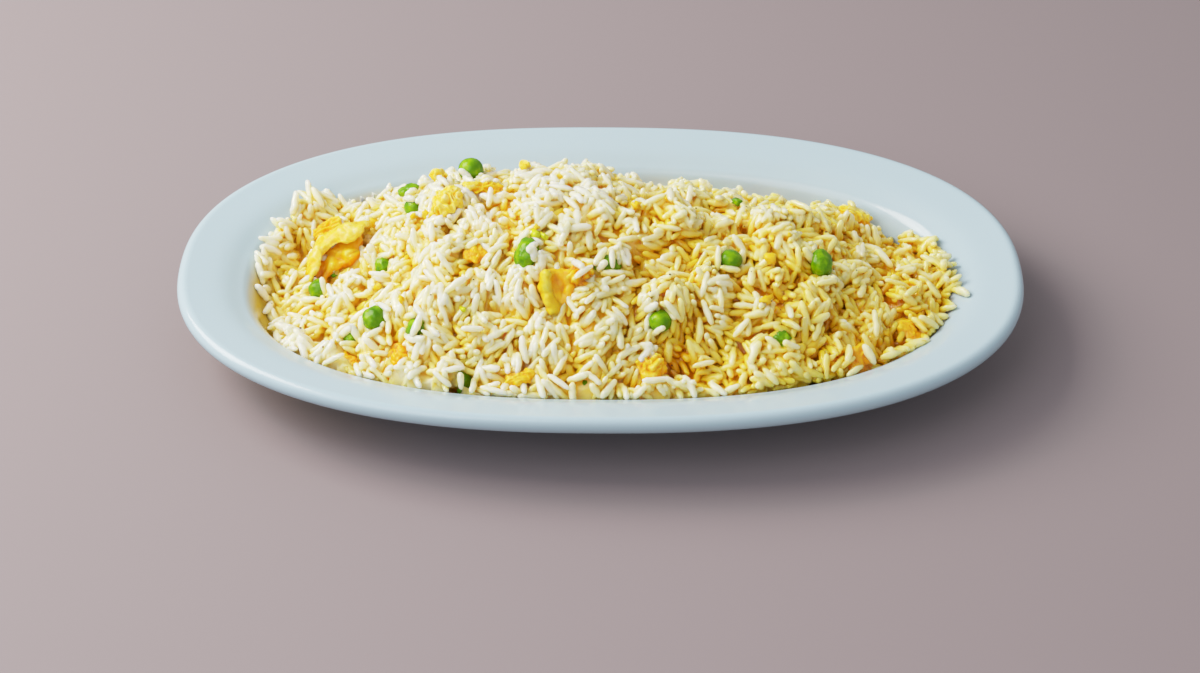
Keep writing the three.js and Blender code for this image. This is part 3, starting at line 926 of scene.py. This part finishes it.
def settle(grains, surface, platter, toppings):
    """Pushes grains apart until they hardly cut each other, and keeps them near their depth."""
    at, half, radius = grains["at"], grains["half"], grains["radius"]
    loose = grains["loose"][:, None]
    inertia = half ** 2 / 3 + radius ** 2
    for step in range(SETTLE_STEPS):
        if step % PAIRED_EVERY == 0:
            pairs = near_pairs(at, 2 * (half.max() + radius.max()))
        move, swing = np.zeros_like(at), np.zeros_like(at)
        count = np.ones(len(at))
        for who, push, arm in pushes_between(grains, *pairs):
            np.add.at(move, who, push)
            np.add.at(swing, who, push * (arm / inertia[who])[:, None])
            np.add.at(count, who, 0.5)
        touched = step % TOUCHED_EVERY == 0 or step > SETTLE_STEPS - 4
        for push, arm in pushes_around(grains, surface, platter, toppings if touched else None):
            move += push
            swing += push * (arm / inertia)[:, None]
        at += loose * move / count[:, None]
        axis = grains["axis"]
        swing -= axis * (swing * axis).sum(1, keepdims=True)
        grains["axis"] = unit(axis + loose * swing / count[:, None])


# ---- laying shapes ----
def laying_tree(name, fused):
    """Geometry nodes that lay one of the shapes on each point, turned and sized by the
    points' own attributes. Fused grains melt into one skin with each other and with the
    stretch of the core from West to East."""
    tree = bpy.data.node_groups.new(name, "GeometryNodeTree")
    for label, kind in (("Points", "Geometry"), ("Shapes", "Collection"), ("Finish", "Material"),
                        ("Seed", "Int"), ("Core", "Object"), ("Middle", "Vector"),
                        ("Extent", "Vector")):
        tree.interface.new_socket(label, in_out="INPUT", socket_type=f"NodeSocket{kind}")
    tree.interface.new_socket("Laid", in_out="OUTPUT", socket_type="NodeSocketGeometry")
    given = add(tree, "NodeGroupInput")
    shapes = add(tree, "GeometryNodeCollectionInfo", {
        "Collection": given.outputs["Shapes"], "Separate Children": True, "Reset Children": True,
    })
    turn, size = (
        add(tree, "GeometryNodeInputNamedAttribute", {"Name": label}, data_type="FLOAT_VECTOR")
        for label in ("turn", "size")
    )
    pick = add(tree, "FunctionNodeRandomValue", {
        "Min": 0, "Max": 99, "Seed": given.outputs["Seed"],
    }, data_type="INT")
    rotation = add(tree, "FunctionNodeEulerToRotation", {"Euler": turn.outputs["Attribute"]})
    laid = add(tree, "GeometryNodeInstanceOnPoints", {
        "Points": given.outputs["Points"], "Instance": shapes.outputs["Instances"],
        "Pick Instance": True, "Instance Index": pick.outputs["Value"],
        "Rotation": rotation.outputs["Rotation"], "Scale": size.outputs["Attribute"],
    }).outputs["Instances"]
    if fused:
        core = add(tree, "GeometryNodeObjectInfo", {"Object": given.outputs["Core"]})
        block = add(tree, "GeometryNodeMeshCube", {"Size": given.outputs["Extent"]})
        moved = add(tree, "GeometryNodeTransform", {
            "Geometry": block.outputs["Mesh"], "Translation": given.outputs["Middle"],
        })
        part = add(tree, "GeometryNodeMeshBoolean", operation="INTERSECT", solver="MANIFOLD")
        tree.links.new(core.outputs["Geometry"], part.inputs[1])
        tree.links.new(moved.outputs["Geometry"], part.inputs[1])
        melted = add(tree, "GeometryNodeMeshBoolean", operation="UNION", solver="MANIFOLD")
        tree.links.new(laid, melted.inputs[1])
        tree.links.new(part.outputs["Mesh"], melted.inputs[1])
        laid = melted.outputs["Mesh"]
    real = add(tree, "GeometryNodeRealizeInstances", {"Geometry": laid})
    done = add(tree, "GeometryNodeSetMaterial", {
        "Geometry": real.outputs["Geometry"], "Material": given.outputs["Finish"],
    })
    add(tree, "NodeGroupOutput", {"Laid": done.outputs["Geometry"]})
    return tree


def take_off_flaps(built):
    """Takes away flat flaps, two faces on the same corners, which joining solids can leave."""
    on_corners = {}
    for face in built.faces:
        on_corners.setdefault(frozenset(corner.index for corner in face.verts), []).append(face)
    flaps = [face for faces in on_corners.values() if len(faces) > 1 for face in faces]
    bmesh.ops.delete(built, geom=flaps, context="FACES")


def lay(name, tree, grains, chosen, **inputs):
    """The chosen grains as one plain mesh object."""
    points = mesh_object(name + "_points", grains["at"][chosen], [], inputs["Finish"])
    for label in ("turn", "size"):
        give_vertices(points, label, grains[label][chosen])
    modifier = points.modifiers.new("Lay", "NODES")
    modifier.node_group = tree
    for item in tree.interface.items_tree:
        if item.name in inputs:
            modifier[item.identifier] = inputs[item.name]
    mesh = outcome(points)
    rework(mesh, take_off_flaps)
    return as_object(name, mesh, inputs["Finish"])


# ---- the rice ----
def grain_form(index):
    """A grain of rice, one millimetre in half-length and in radius, along X."""
    rings, sides = 7, 7
    bend = rng.uniform(-GRAIN_BEND, GRAIN_BEND)
    blunt = rng.uniform(*GRAIN_BLUNTNESS)
    lean = rng.uniform(-GRAIN_LEAN, GRAIN_LEAN)
    vertices, faces = [], []
    for ring in range(rings + 1):
        t = -math.cos(math.pi * ring / rings)
        girth = max(1 - abs(t + lean * (1 - t * t)) ** blunt, 0) ** 0.5
        waist = 1 + 0.08 * math.sin(3 * t + index)
        for k in range(1 if ring in (0, rings) else sides):
            a = 2 * math.pi * (k + 0.5 * (ring % 2)) / sides
            ridge = 1 + 0.07 * math.cos(2 * a + index + 0.5 * t)
            vertices.append((t, girth * waist * ridge * math.cos(a) + bend * (t * t - 0.4),
                             GRAIN_FLATNESS * girth * waist * ridge * math.sin(a)))
    start = [0] + [1 + sides * i for i in range(rings)]
    for ring in range(rings):
        low = start[ring]
        for a in range(sides):
            b = (a + 1) % sides
            if ring == 0:
                faces.append((0, 1 + b, 1 + a))
            elif ring == rings - 1:
                faces.append((low + a, low + b, len(vertices) - 1))
            else:
                high = start[ring + 1]
                faces.append((low + a, low + b, high + b, high + a))
    return vertices, faces


def euler_of(axis, roll):
    """Euler angles that turn +X onto each axis, after a roll about it."""
    turns = []
    for direction, angle in zip(axis, roll):
        quaternion = Vector(direction).to_track_quat("X", "Z")
        turned = quaternion.to_matrix() @ Matrix.Rotation(angle, 3, "X")
        turns.append(turned.to_euler())
    return np.array(turns)


def in_front(grains, shell, near):
    """How many of three points along each grain lie before the shell as seen from the front."""
    hidden = np.zeros(len(grains["at"]), int)
    back = Vector(-TOWARDS)
    for share in (-0.7, 0, 0.7):
        points = grains["at"] + share * (grains["length"] / 2)[:, None] * grains["axis"]
        hidden += [shell.ray_cast(Vector(point * MM), back, near * MM)[0] is not None
                   for point in points]
    return hidden


def make_grains():
    """All grains, settled in the heap, with their Euler angles, sizes and tints."""
    scattered, laid = scattered_grains(), laid_grains()
    grains = {key: np.concatenate([scattered[key], laid[key]]) for key in scattered}
    grains["half"] = np.maximum(grains["length"] / 2 - grains["radius"], 0.3)
    settle(grains, surface, platter_map, toppings)
    peas, eggs = (shell_of([name for name in topping_names if name.startswith(kind)])
                  for kind in ("pea", "egg"))
    covering = in_front(grains, peas, IN_FRONT) > 0
    covering |= (in_front(grains, eggs, IN_FRONT) > 1) | (in_front(grains, eggs, POKING) > 0)
    kept = ~covering | (grains["loose"] == 0)
    grains = {key: values[kept] for key, values in grains.items()}
    count = len(grains["at"])
    grains["turn"] = euler_of(grains["axis"], rng.uniform(0, 2 * math.pi, count))
    grains["size"] = np.column_stack([grains["length"] / 2, grains["radius"], grains["radius"]])
    white = np.zeros(count)
    for x, y, reach in WHITE_CLUMPS:
        away = np.hypot(grains["at"][:, 0] - x, grains["at"][:, 1] - y)
        white = np.maximum(white, np.clip(1.4 - away / reach, 0, 1))
    of_clump = rng.random(len(clump_middles))[grains["clump"]]
    grains["tint"] = 0.5 * of_clump + 0.5 * rng.random(count) - WHITE * white
    return grains


def make_core(material):
    """The inside of the heap: a closed mound under the grains, rough with half-buried rice."""
    step = CORE_STEP
    depth = np.interp(flat_cells[..., 0], CORE_SHIFT, CORE_DEPTH)
    sunk = surface.heights - depth / surface.normals[..., 2]
    floor = platter_heights + CORE_CLEAR
    chosen = [(i, j) for i in range(0, HeightMap.columns, step)
              for j in range(0, HeightMap.rows, step) if inner[i, j] > 0.5]
    index = {cell: k for k, cell in enumerate(chosen)}
    picked = np.array(chosen)
    rough = np.array([noise.noise(Vector((i / ROUGH_SIZE, j / ROUGH_SIZE, 0)))
                      for i, j in chosen])
    under = floor[tuple(picked.T)]
    above = np.maximum(sunk[tuple(picked.T)] + CORE_ROUGHNESS * rough, under + CORE_THINNEST)
    flat = HeightMap.corner + picked * CELL
    n, faces, edges = len(chosen), [], set()
    for i, j in chosen:
        around = ((i, j), (i + step, j), (i + step, j + step), (i, j + step))
        corners = [index.get(key) for key in around]
        if None in corners:
            continue
        faces.append(tuple(corners))
        faces.append(tuple(n + c for c in reversed(corners)))
        edges.update(zip(corners, corners[1:] + corners[:1]))
    faces += [(q, p, n + p, n + q) for p, q in edges if (q, p) not in edges]
    vertices = np.vstack([np.column_stack([flat, above]), np.column_stack([flat, under])])
    used = sorted({v for face in faces for v in face})
    renumbered = {v: k for k, v in enumerate(used)}
    faces = [tuple(renumbered[v] for v in face) for face in faces]
    return mesh_object("rice_core", vertices[used], faces, material)


def make_rice(grains, core, material):
    """The heap's rice, one closed skin of stuck grains for each stretch of the platter."""
    tree = laying_tree("Melt grains together", fused=True)
    shapes = as_shapes("whole_grain", map(grain_form, range(GRAIN_FORMS)), material)
    west_of = np.searchsorted(STRETCHES[1:-1], clump_middles[grains["clump"], 0])
    pieces = []
    for k, (west, east) in enumerate(zip(STRETCHES, STRETCHES[1:])):
        middle, extent = (west + east) / 2 * MM, (east - west + OVERLAP) * MM
        pieces.append(lay(f"rice_{k + 1}", tree, grains, west_of == k, Shapes=shapes,
                          Finish=material, Seed=20 + k, Core=core, Middle=(middle, 0, 0.03),
                          Extent=(extent, 0.3, 0.2)))
    return pieces


def stick_together(thing):
    """Fills the creases where grains touch with a little starch, so that they look stuck."""
    points = vertices_of(thing)
    gap = neighbour_mean(thing)(points) - points
    hollow = np.clip((gap * normals_of(thing)).sum(1) / STARCH_DEPTH, 0, 1)
    move_vertices(thing, points + STARCH * hollow[:, None] * gap)


# ---- the rice's colour ----
def top_surface(things):
    """The highest point of the things in each cell, as a smoothed map."""
    tops = np.full(footprint.shape, EMPTY)
    for thing in things:
        points = vertices_of(thing)
        np.maximum.at(tops, HeightMap.cells_under(points), points[:, 2])
    tops = spread(tops, TOPS_REACH, np.max)
    tops[tops == EMPTY] = np.nan
    return HeightMap(blur(tops, TOPS_BLUR))


def depth_of(thing, tops):
    """How deep each vertex lies, from 0 where it stands out to 1 far down between grains."""
    points = vertices_of(thing)
    height, normal = tops.at(points)
    return np.clip((height - points[:, 2]) * normal[:, 2] / DEEP, 0, 1)


def neighbour_mean(thing):
    """A function that takes a value for each vertex and gives the mean of its neighbours'."""
    count = len(thing.data.vertices)
    ends = read(thing.data.edges, "vertices", int, 2)
    one, other = ends.T
    links = np.maximum(np.bincount(ends.ravel(), minlength=count), 1)

    def mean(values):
        if values.ndim > 1:
            return np.column_stack([mean(column) for column in values.T])
        total = np.bincount(one, values[other], count) + np.bincount(other, values[one], count)
        return total / links

    return mean


def smoothed(values, mean, rounds):
    """Values that have drawn nearer to their neighbours' mean a few times."""
    for _ in range(rounds):
        values = 0.4 * values + 0.6 * mean(values)
    return values


def creases_of(thing, rounds):
    """How far each vertex lies in a crease: 0 on a ridge or a smooth face, 1 deep in one."""
    mean = neighbour_mean(thing)
    points = vertices_of(thing)
    crease = np.clip(((mean(points) - points) * normals_of(thing)).sum(1) / CREASE, -0.5, 1.5)
    return np.clip(smoothed(crease, mean, rounds), 0, 1)


def shut_in(things):
    """For each thing, how shut in each vertex is by what stands round it, from 0 to 1."""
    points = [vertices_of(thing) for thing in things]
    starts = np.cumsum([0] + [len(block) for block in points])
    triangles = []
    for thing, start in zip(things, starts):
        thing.data.calc_loop_triangles()
        triangles.append(read(thing.data.loop_triangles, "vertices", int) + start)
    points = np.concatenate(points)
    shell = BVHTree.FromPolygons(points.tolist(), np.concatenate(triangles).tolist(),
                                 all_triangles=True)
    normals = np.concatenate([normals_of(thing) for thing in things])
    side = unit(np.cross(normals, [0.31, 0.52, 0.8]))
    other = np.cross(normals, side)
    begin = (points + OFF_SKIN * normals).tolist()
    closed = np.zeros(len(points))
    turn = GOLDEN_ANGLE * np.arange(len(points))
    for k in range(RAYS):
        height = math.sqrt(1 - (k + 0.5) / RAYS)
        flat = math.sqrt(1 - height ** 2)
        angle = turn + GOLDEN_ANGLE * k
        rays = (normals * height + side * (flat * np.cos(angle))[:, None]
                + other * (flat * np.sin(angle))[:, None]).tolist()
        hits = [shell.ray_cast(a, b, REACH)[3] for a, b in zip(begin, rays)]
        closed += [0 if hit is None else 1 - hit / REACH for hit in hits]
    closed /= RAYS
    blocks = [smoothed(closed[start:end], neighbour_mean(thing), 5)
              for thing, start, end in zip(things, starts, starts[1:])]
    return blocks, shell


def in_hollow(points):
    """How far in one of the heap's hollows each point is, from 0 to 1."""
    return np.max([hollow / FULL_HOLLOW for hollow in hollows_at(points)], axis=0)


def grain_tree(grains):
    """A search tree of points along the grains, each with its grain's number."""
    points = np.concatenate([grains["at"] + share * grains["half"][:, None] * grains["axis"]
                             for share in (-0.8, 0, 0.8)])
    found = KDTree(len(points))
    for k, point in enumerate(points):
        found.insert(point, k % len(grains["at"]))
    found.balance()
    return found


def yellow_and_shade_of(thing, closed, nearest, tints):
    """How yellow each vertex of the rice is, from 0 to 1: its own tint, with painted shade where it
    is shut in, sunk, creased and in hollows, and painted light and shade from left to right.
    """
    points = vertices_of(thing)
    causes = {
        "shut_in": closed - OPEN,
        "sunk": np.clip(depth_of(thing, tops) - SUNK_FROM, 0, 1),
        "crease": creases_of(thing, 3),
        "tint": np.array([tints[nearest.find(point)[1]] for point in points]),
        # painted light and shade: paler to the left, towards the key light, deeper yellow to the
        # right, turned from it
        "side_light_and_shade": np.clip((points[:, 0] - SIDE_LIGHT_MIDDLE) / SIDE_LIGHT_REACH, -1, 1),
        # painted shade: deeper yellow in the heap's hollows
        "hollow": in_hollow(points),
    }
    return np.clip(sum(YELLOW_AND_SHADE_WEIGHTS[cause] * share for cause, share in causes.items()), 0, 1)


# ---- peas and egg ----
def make_pea(name, node, material):
    """A pea: wrinkled, dented, grooved or cut as its form says."""
    middle, directions, radii = ellipsoid_of(node)
    wrinkle, groove, cut, wide, tall = PEA_FORMS[name[:6]]
    seed = sum(map(ord, name))
    ball = bmesh.new()
    bmesh.ops.create_icosphere(ball, subdivisions=4, radius=1)
    split = Vector((math.cos(seed), math.sin(seed), 0.3)).normalized()
    eye_at = Vector((0.4, 0.3, 0.86)).normalized()
    for vertex in ball.verts:
        p = vertex.co.normalized()
        eye = 0.05 * math.exp(-((1 - p.dot(eye_at)) / 0.05))
        ripple = 1.6 * wrinkle * noise.noise(p * 1.5 + Vector((seed, 0, 0)))
        crumple = wrinkle * (0.5 - 2 * abs(noise.noise(p * 2.8 + Vector((0, seed, 0)))))
        line = groove * math.exp(-(p.dot(split) / 0.16) ** 2)
        local = np.array(p) * radii * (1 - eye + ripple + crumple - line)
        local[2] = min(local[2], cut * radii[2])
        local = directions @ local
        local = (local + (wide - 1) * (local @ ACROSS) * ACROSS
                 + (tall - 1) * (local @ UPWARDS) * UPWARDS)
        vertex.co = Vector((middle + local) * MM)
    mesh = bpy.data.meshes.new(name)
    bmesh.ops.recalc_face_normals(ball, faces=ball.faces)
    ball.to_mesh(mesh)
    ball.free()
    return as_object(name, mesh, material)


def refined(name, node, material):
    """A node's plain solid, merged and rounded by subdivision, as a new piece."""
    mesh = node.data.copy()
    rework(mesh, lambda built: bmesh.ops.remove_doubles(built, verts=built.verts, dist=0.02 * MM))
    plain = linked(name + "_plain", mesh)
    modifier = plain.modifiers.new("Smooth", "SUBSURF")
    modifier.levels = modifier.render_levels = EGG_LEVELS
    return as_object(name, outcome(plain), material)


def sheet_grid(rows, steps):
    """A smooth grid of points through a few rows of points."""
    rows = [smooth_line(row, steps) for row in rows]
    return np.array([smooth_line(column, steps) for column in zip(*rows)])


def slab_around(grid, thickness):
    """Vertices and faces of a closed sheet of egg, thin at its edges, about a grid of points."""
    across, along = np.gradient(grid, axis=0), np.gradient(grid, axis=1)
    outward = unit(np.cross(across, along))
    outward *= np.sign(outward[..., 2].sum())
    n, m = grid.shape[:2]
    edge = [np.minimum(np.arange(k), np.arange(k)[::-1]) for k in (n, m)]
    round_edge = np.sqrt(np.clip(np.minimum.outer(edge[0], edge[1]) / 3, 0.12, 1))
    half = (thickness / 2 * round_edge)[..., None] * outward
    vertices = np.vstack([(grid + half).reshape(-1, 3), (grid - half).reshape(-1, 3)])
    index = np.arange(n * m).reshape(n, m)
    faces = []
    for i in range(n - 1):
        for j in range(m - 1):
            quad = (index[i, j], index[i + 1, j], index[i + 1, j + 1], index[i, j + 1])
            faces += [quad, tuple(n * m + q for q in reversed(quad))]
    ring = [*index[:, 0], *index[-1, 1:], *index[-2::-1, -1], *index[0, -2:0:-1]]
    faces += [(b, a, n * m + a, n * m + b) for a, b in zip(ring, ring[1:] + ring[:1])]
    return vertices, faces


def lofted(name, parts, material):
    """A folded piece of egg: closed sheets through rows of points, each with its own yellow, in which
    painted shade and highlights are set.
    """
    vertices, faces, yellow = [], [], []
    for rows, thickness, yellow_and_shade in parts:
        grid = sheet_grid(rows, SHEET_STEPS)
        for point in grid.reshape(-1, 3):
            point += BUCKLE * np.array(noise.noise_vector(Vector(point / BUCKLE_SIZE)))
        more, around = slab_around(grid, thickness)
        faces += [tuple(len(vertices) + k for k in face) for face in around]
        vertices += more.tolist()
        yellow += [yellow_and_shade] * len(more)
    thing = mesh_object(name, vertices, faces, material)
    rework(thing.data, lambda built: bmesh.ops.recalc_face_normals(built, faces=built.faces))
    return thing, np.array(yellow)


def left_sheet():
    """The folded sheet at the left: a roof with a thin curled lip over a smooth inner wall, deeper
    yellow as painted shade under the roof.
    """
    inner_wall = [[np.add(row[-1], step) for step in INNER_WALL] for row in LEFT_SHEET]
    return (LEFT_SHEET, 1.5, 0.05), (inner_wall, 2.4, 0.2)


def centre_slab():
    """The slab in the middle: a smooth face, sunk in, deeper yellow as painted shade, with a raised
    edge at its left, paler as a painted highlight.
    """
    middle = ellipsoid_of(nodes["egg_slab_centre"])[0]
    rows = [[middle + across * ACROSS + up * UPWARDS + out * TOWARDS for across, up, out in row]
            for row in CENTRE_SLAB]
    edge = [[point + 0.4 * TOWARDS for point in row[:3]] for row in rows]
    return (rows, 3.0, 0.12), (edge, 1.3, -0.12)


def egg_relief(points, seed, turn, spacing, ruffle, lump):
    """How far a piece of egg rises at each point, in its ruffles, curds, crumb and bulges."""
    turn = math.radians(turn)
    along = Vector(ACROSS * math.cos(turn) + UPWARDS * math.sin(turn))
    raised = np.empty(len(points))
    for k, p in enumerate(points):
        p = Vector(p)
        warp = noise.noise(p / WARP_SIZE + Vector((seed, 0, 0)))
        drawn = p - DRAWN_OUT * p.dot(along) * along
        wave = 1.6 * abs(noise.noise(drawn / (0.7 * spacing) + Vector((warp, 0, seed))))
        curd = 2.6 * abs(noise.noise(p / CURD_SIZE + Vector((0, seed, 0)))) - 0.6
        crumb = 0.5 - 2 * abs(noise.noise(p / CRUMB_SIZE + Vector((0, 0, seed))))
        bulge = noise.noise(p / BULGE_SIZE + Vector((seed, seed, 0)))
        raised[k] = (RUFFLE * ruffle * (0.5 - wave) + CURD * lump * curd + CRUMB * crumb
                     + BULGE * bulge)
    return raised


def make_egg(name, node, material):
    """A piece of egg: ruffled across one direction, lumpy with curds and rough with crumb."""
    own = name.removesuffix("_cooked")
    folded = {"egg_sheet_left": left_sheet, "egg_slab_centre": centre_slab}
    if own in folded:
        thing, yellow = lofted(name, folded[own](), material)
    else:
        thing, yellow = refined(name, node, material), EGG_YELLOW
    points = vertices_of(thing)
    middle = (points.max(0) + points.min(0)) / 2
    points = middle + GROWN.get(own, 1) * (points - middle)
    raised = egg_relief(points, sum(map(ord, name)), *EGG_FORMS[own])
    move_vertices(thing, points + normals_of(thing) * (raised + EGG_SWELL)[:, None])
    # Painted shade: egg is deeper yellow where it lies deep or in a crease; a painted highlight makes
    # it paler where it rises.
    deep = 0.5 * depth_of(thing, tops) + 0.6 * creases_of(thing, 4)
    give_vertices(thing, "yellow_and_shade", np.clip(deep - PAINTED_TOP_HIGHLIGHT * raised + yellow, 0, 1))
    return thing


# ---- crumbs and pepper ----
def crumb_form(index, rough):
    """A small lump with a radius of one millimetre."""
    ball = bmesh.new()
    bmesh.ops.create_icosphere(ball, subdivisions=2, radius=1)
    points = [v.co * (1 + rough * noise.noise(v.co * 1.7 + Vector((index, 0, 5))))
              for v in ball.verts]
    faces = [[v.index for v in face.verts] for face in ball.faces]
    ball.free()
    return points, faces


def landed(spots, way):
    """Where small things come to rest on the rice, let down the given way."""
    hits = [rice_shell.ray_cast(Vector(spot - 60 * way), Vector(way), 120)[0] for spot in spots]
    return np.array([hit for hit in hits if hit is not None])


def strew(name, spots, way, sizes, forms, material, slot):
    """Small things of a few forms, let down onto the rice the given way."""
    at = landed(spots, way)
    count = len(at)
    bits = {"at": at, "turn": rng.uniform(0, 6.28, (count, 3)),
            "size": np.asarray(sizes)[:count, None] * rng.uniform(0.6, 1.2, (count, 3))}
    thing = lay(name, laying_tree("Strew " + name, fused=False), bits, np.arange(count),
                Shapes=as_shapes(name + "_shape", forms, material), Finish=material, Seed=5)
    if slot:
        give_vertices(thing, "yellow_and_shade", np.full(len(thing.data.vertices), CRUMB_YELLOW))
    place(thing, slot)


def make_bits():
    """Crumbs of egg, shreds of green and specks of pepper on top of the rice."""
    pepper = ground_pepper()
    for name, table, material, slot in (("egg_crumbs", EGG_CRUMBS, egg_yellow, "egg"),
                                        ("green_shreds", GREEN_SHREDS, pea_green, "pea"),
                                        ("onion_shreds", ONION_SHREDS, spring_onion(), "pea")):
        *spots, sizes = np.array(table).T
        strew(name, np.transpose(spots), -TOWARDS, sizes,
              [crumb_form(index, 0.9) for index in range(4)], material, slot)
    spots = rng.uniform(*SPECKS_BOX, (SPECKS, 3))
    strew("pepper_specks", spots, DOWNWARDS, rng.uniform(*SPECK_SIZE, SPECKS),
          [crumb_form(index, 0.6) for index in range(3)], pepper, None)


# ---- floor, lights and camera ----
def make_stage():
    """A wide matt floor and the light of a soft, even room."""
    corners = [(x * FLOOR_HALF, y * FLOOR_HALF, 0) for x, y in ((-1, -1), (1, -1), (1, 1), (-1, 1))]
    mesh_object("floor", corners, [(0, 1, 2, 3)], pale_floor(), smooth=False)
    world = bpy.data.worlds.new("Soft room")
    world.use_nodes = True
    world.node_tree.nodes.clear()
    sky = add(world.node_tree, "ShaderNodeBackground", {
        "Color": linear("#F2F5FA"), "Strength": SKY_STRENGTH,
    })
    add(world.node_tree, "ShaderNodeOutputWorld", {"Surface": sky.outputs["Background"]})
    bpy.context.scene.world = world


def area_light(name, at, size, watts, colour):
    """A square light that shines on the middle of the heap."""
    lamp = bpy.data.lights.new(name, "AREA")
    lamp.size = size * MM
    lamp.energy = watts
    lamp.color = linear(colour)[:3]
    thing = linked(name, lamp)
    thing.location = Vector(at) * MM
    aim = Vector(LIGHTS_AIM) * MM - thing.location
    thing.rotation_euler = aim.to_track_quat("-Z", "Y").to_euler()


def make_camera():
    """The camera that the picture is taken with."""
    camera = linked("Camera", bpy.data.cameras.new("Camera"))
    camera.data.lens = LENS
    camera.data.sensor_width = SENSOR
    camera.data.clip_start, camera.data.clip_end = 0.05, 20
    camera.location = Vector(CAMERA_AT) * MM
    camera.rotation_euler = (math.radians(90 - CAMERA_DOWN), 0, math.radians(CAMERA_TURN))
    bpy.context.scene.camera = camera


def develop():
    """Light turns into the picture's tones along a curve with a soft shoulder."""
    view = bpy.context.scene.view_settings
    view.view_transform = "Standard"
    view.use_curve_mapping = True
    mapping = view.curve_mapping
    mapping.white_level = (TONE_WHITE,) * 3
    for light, tone in TONE:
        mapping.curves[3].points.new(light / TONE_WHITE, tone)
    mapping.update()


# ---- put together ----
topping_names = [name for name in nodes if name.startswith(("pea", "egg"))]

platter_heights = HeightMap.cast_on(nodes["platter"])
platter_heights[np.isnan(platter_heights)] = 0
heap_heights = HeightMap.cast_on(nodes["rice_heap"])
footprint = ~np.isnan(heap_heights)
filled = np.where(footprint, heap_heights, platter_heights)
filled = spread(spread(filled, BRIDGED, np.max), BRIDGED, np.min)
filled = np.where(footprint, np.maximum(filled, np.nan_to_num(heap_heights)), platter_heights)
inner = blur(footprint.astype(float), EDGE_BLUR)
cells = np.stack(np.meshgrid(np.arange(HeightMap.columns), np.arange(HeightMap.rows),
                             indexing="ij"), axis=-1)
flat_cells = HeightMap.corner + cells * CELL

clump_middles = scattered_middles(CLUMP_SPACING)
clump_of, border = clump_map(clump_middles)
surface = HeightMap(blur(filled - crest_drop(), SURFACE_BLUR)
                    + np.clip(inner * 2 - 1, 0, 1) * relief())
platter_map = HeightMap(platter_heights)
toppings = shell_of(topping_names)

grains = make_grains()
rice = cooked_rice()
core = make_core(rice)
pieces = make_rice(grains, core, rice)
bpy.data.objects.remove(core)
for piece in pieces:
    stick_together(piece)
tops = top_surface(pieces)
nearest = grain_tree(grains)
closed_in, rice_shell = shut_in(pieces)
for piece, closed in zip(pieces, closed_in):
    # Each vertex's own tint, with painted shade in its depths, creases and hollows, and painted light
    # and shade from left to right.
    give_vertices(piece, "yellow_and_shade", yellow_and_shade_of(piece, closed, nearest, grains["tint"]))
    place(piece, "rice", "rice_heap")

place(make_platter(porcelain()), "porcelain", "platter")

pea_green, egg_yellow = pea_skin(), set_egg()
for name in topping_names:
    kind, material = (make_pea, pea_green) if name.startswith("pea") else (make_egg, egg_yellow)
    place(kind(name + "_cooked", nodes[name], material), name[:3], name)

make_bits()
make_stage()
area_light("Key", KEY_AT, KEY_SIZE, KEY_WATTS, "#FFFCF6")
area_light("Glint", KEY_AT, GLINT_SIZE, GLINT_WATTS, "#FFFFFF")
area_light("Fill", FILL_AT, FILL_SIZE, FILL_WATTS, "#F4F7FF")
make_camera()
develop()
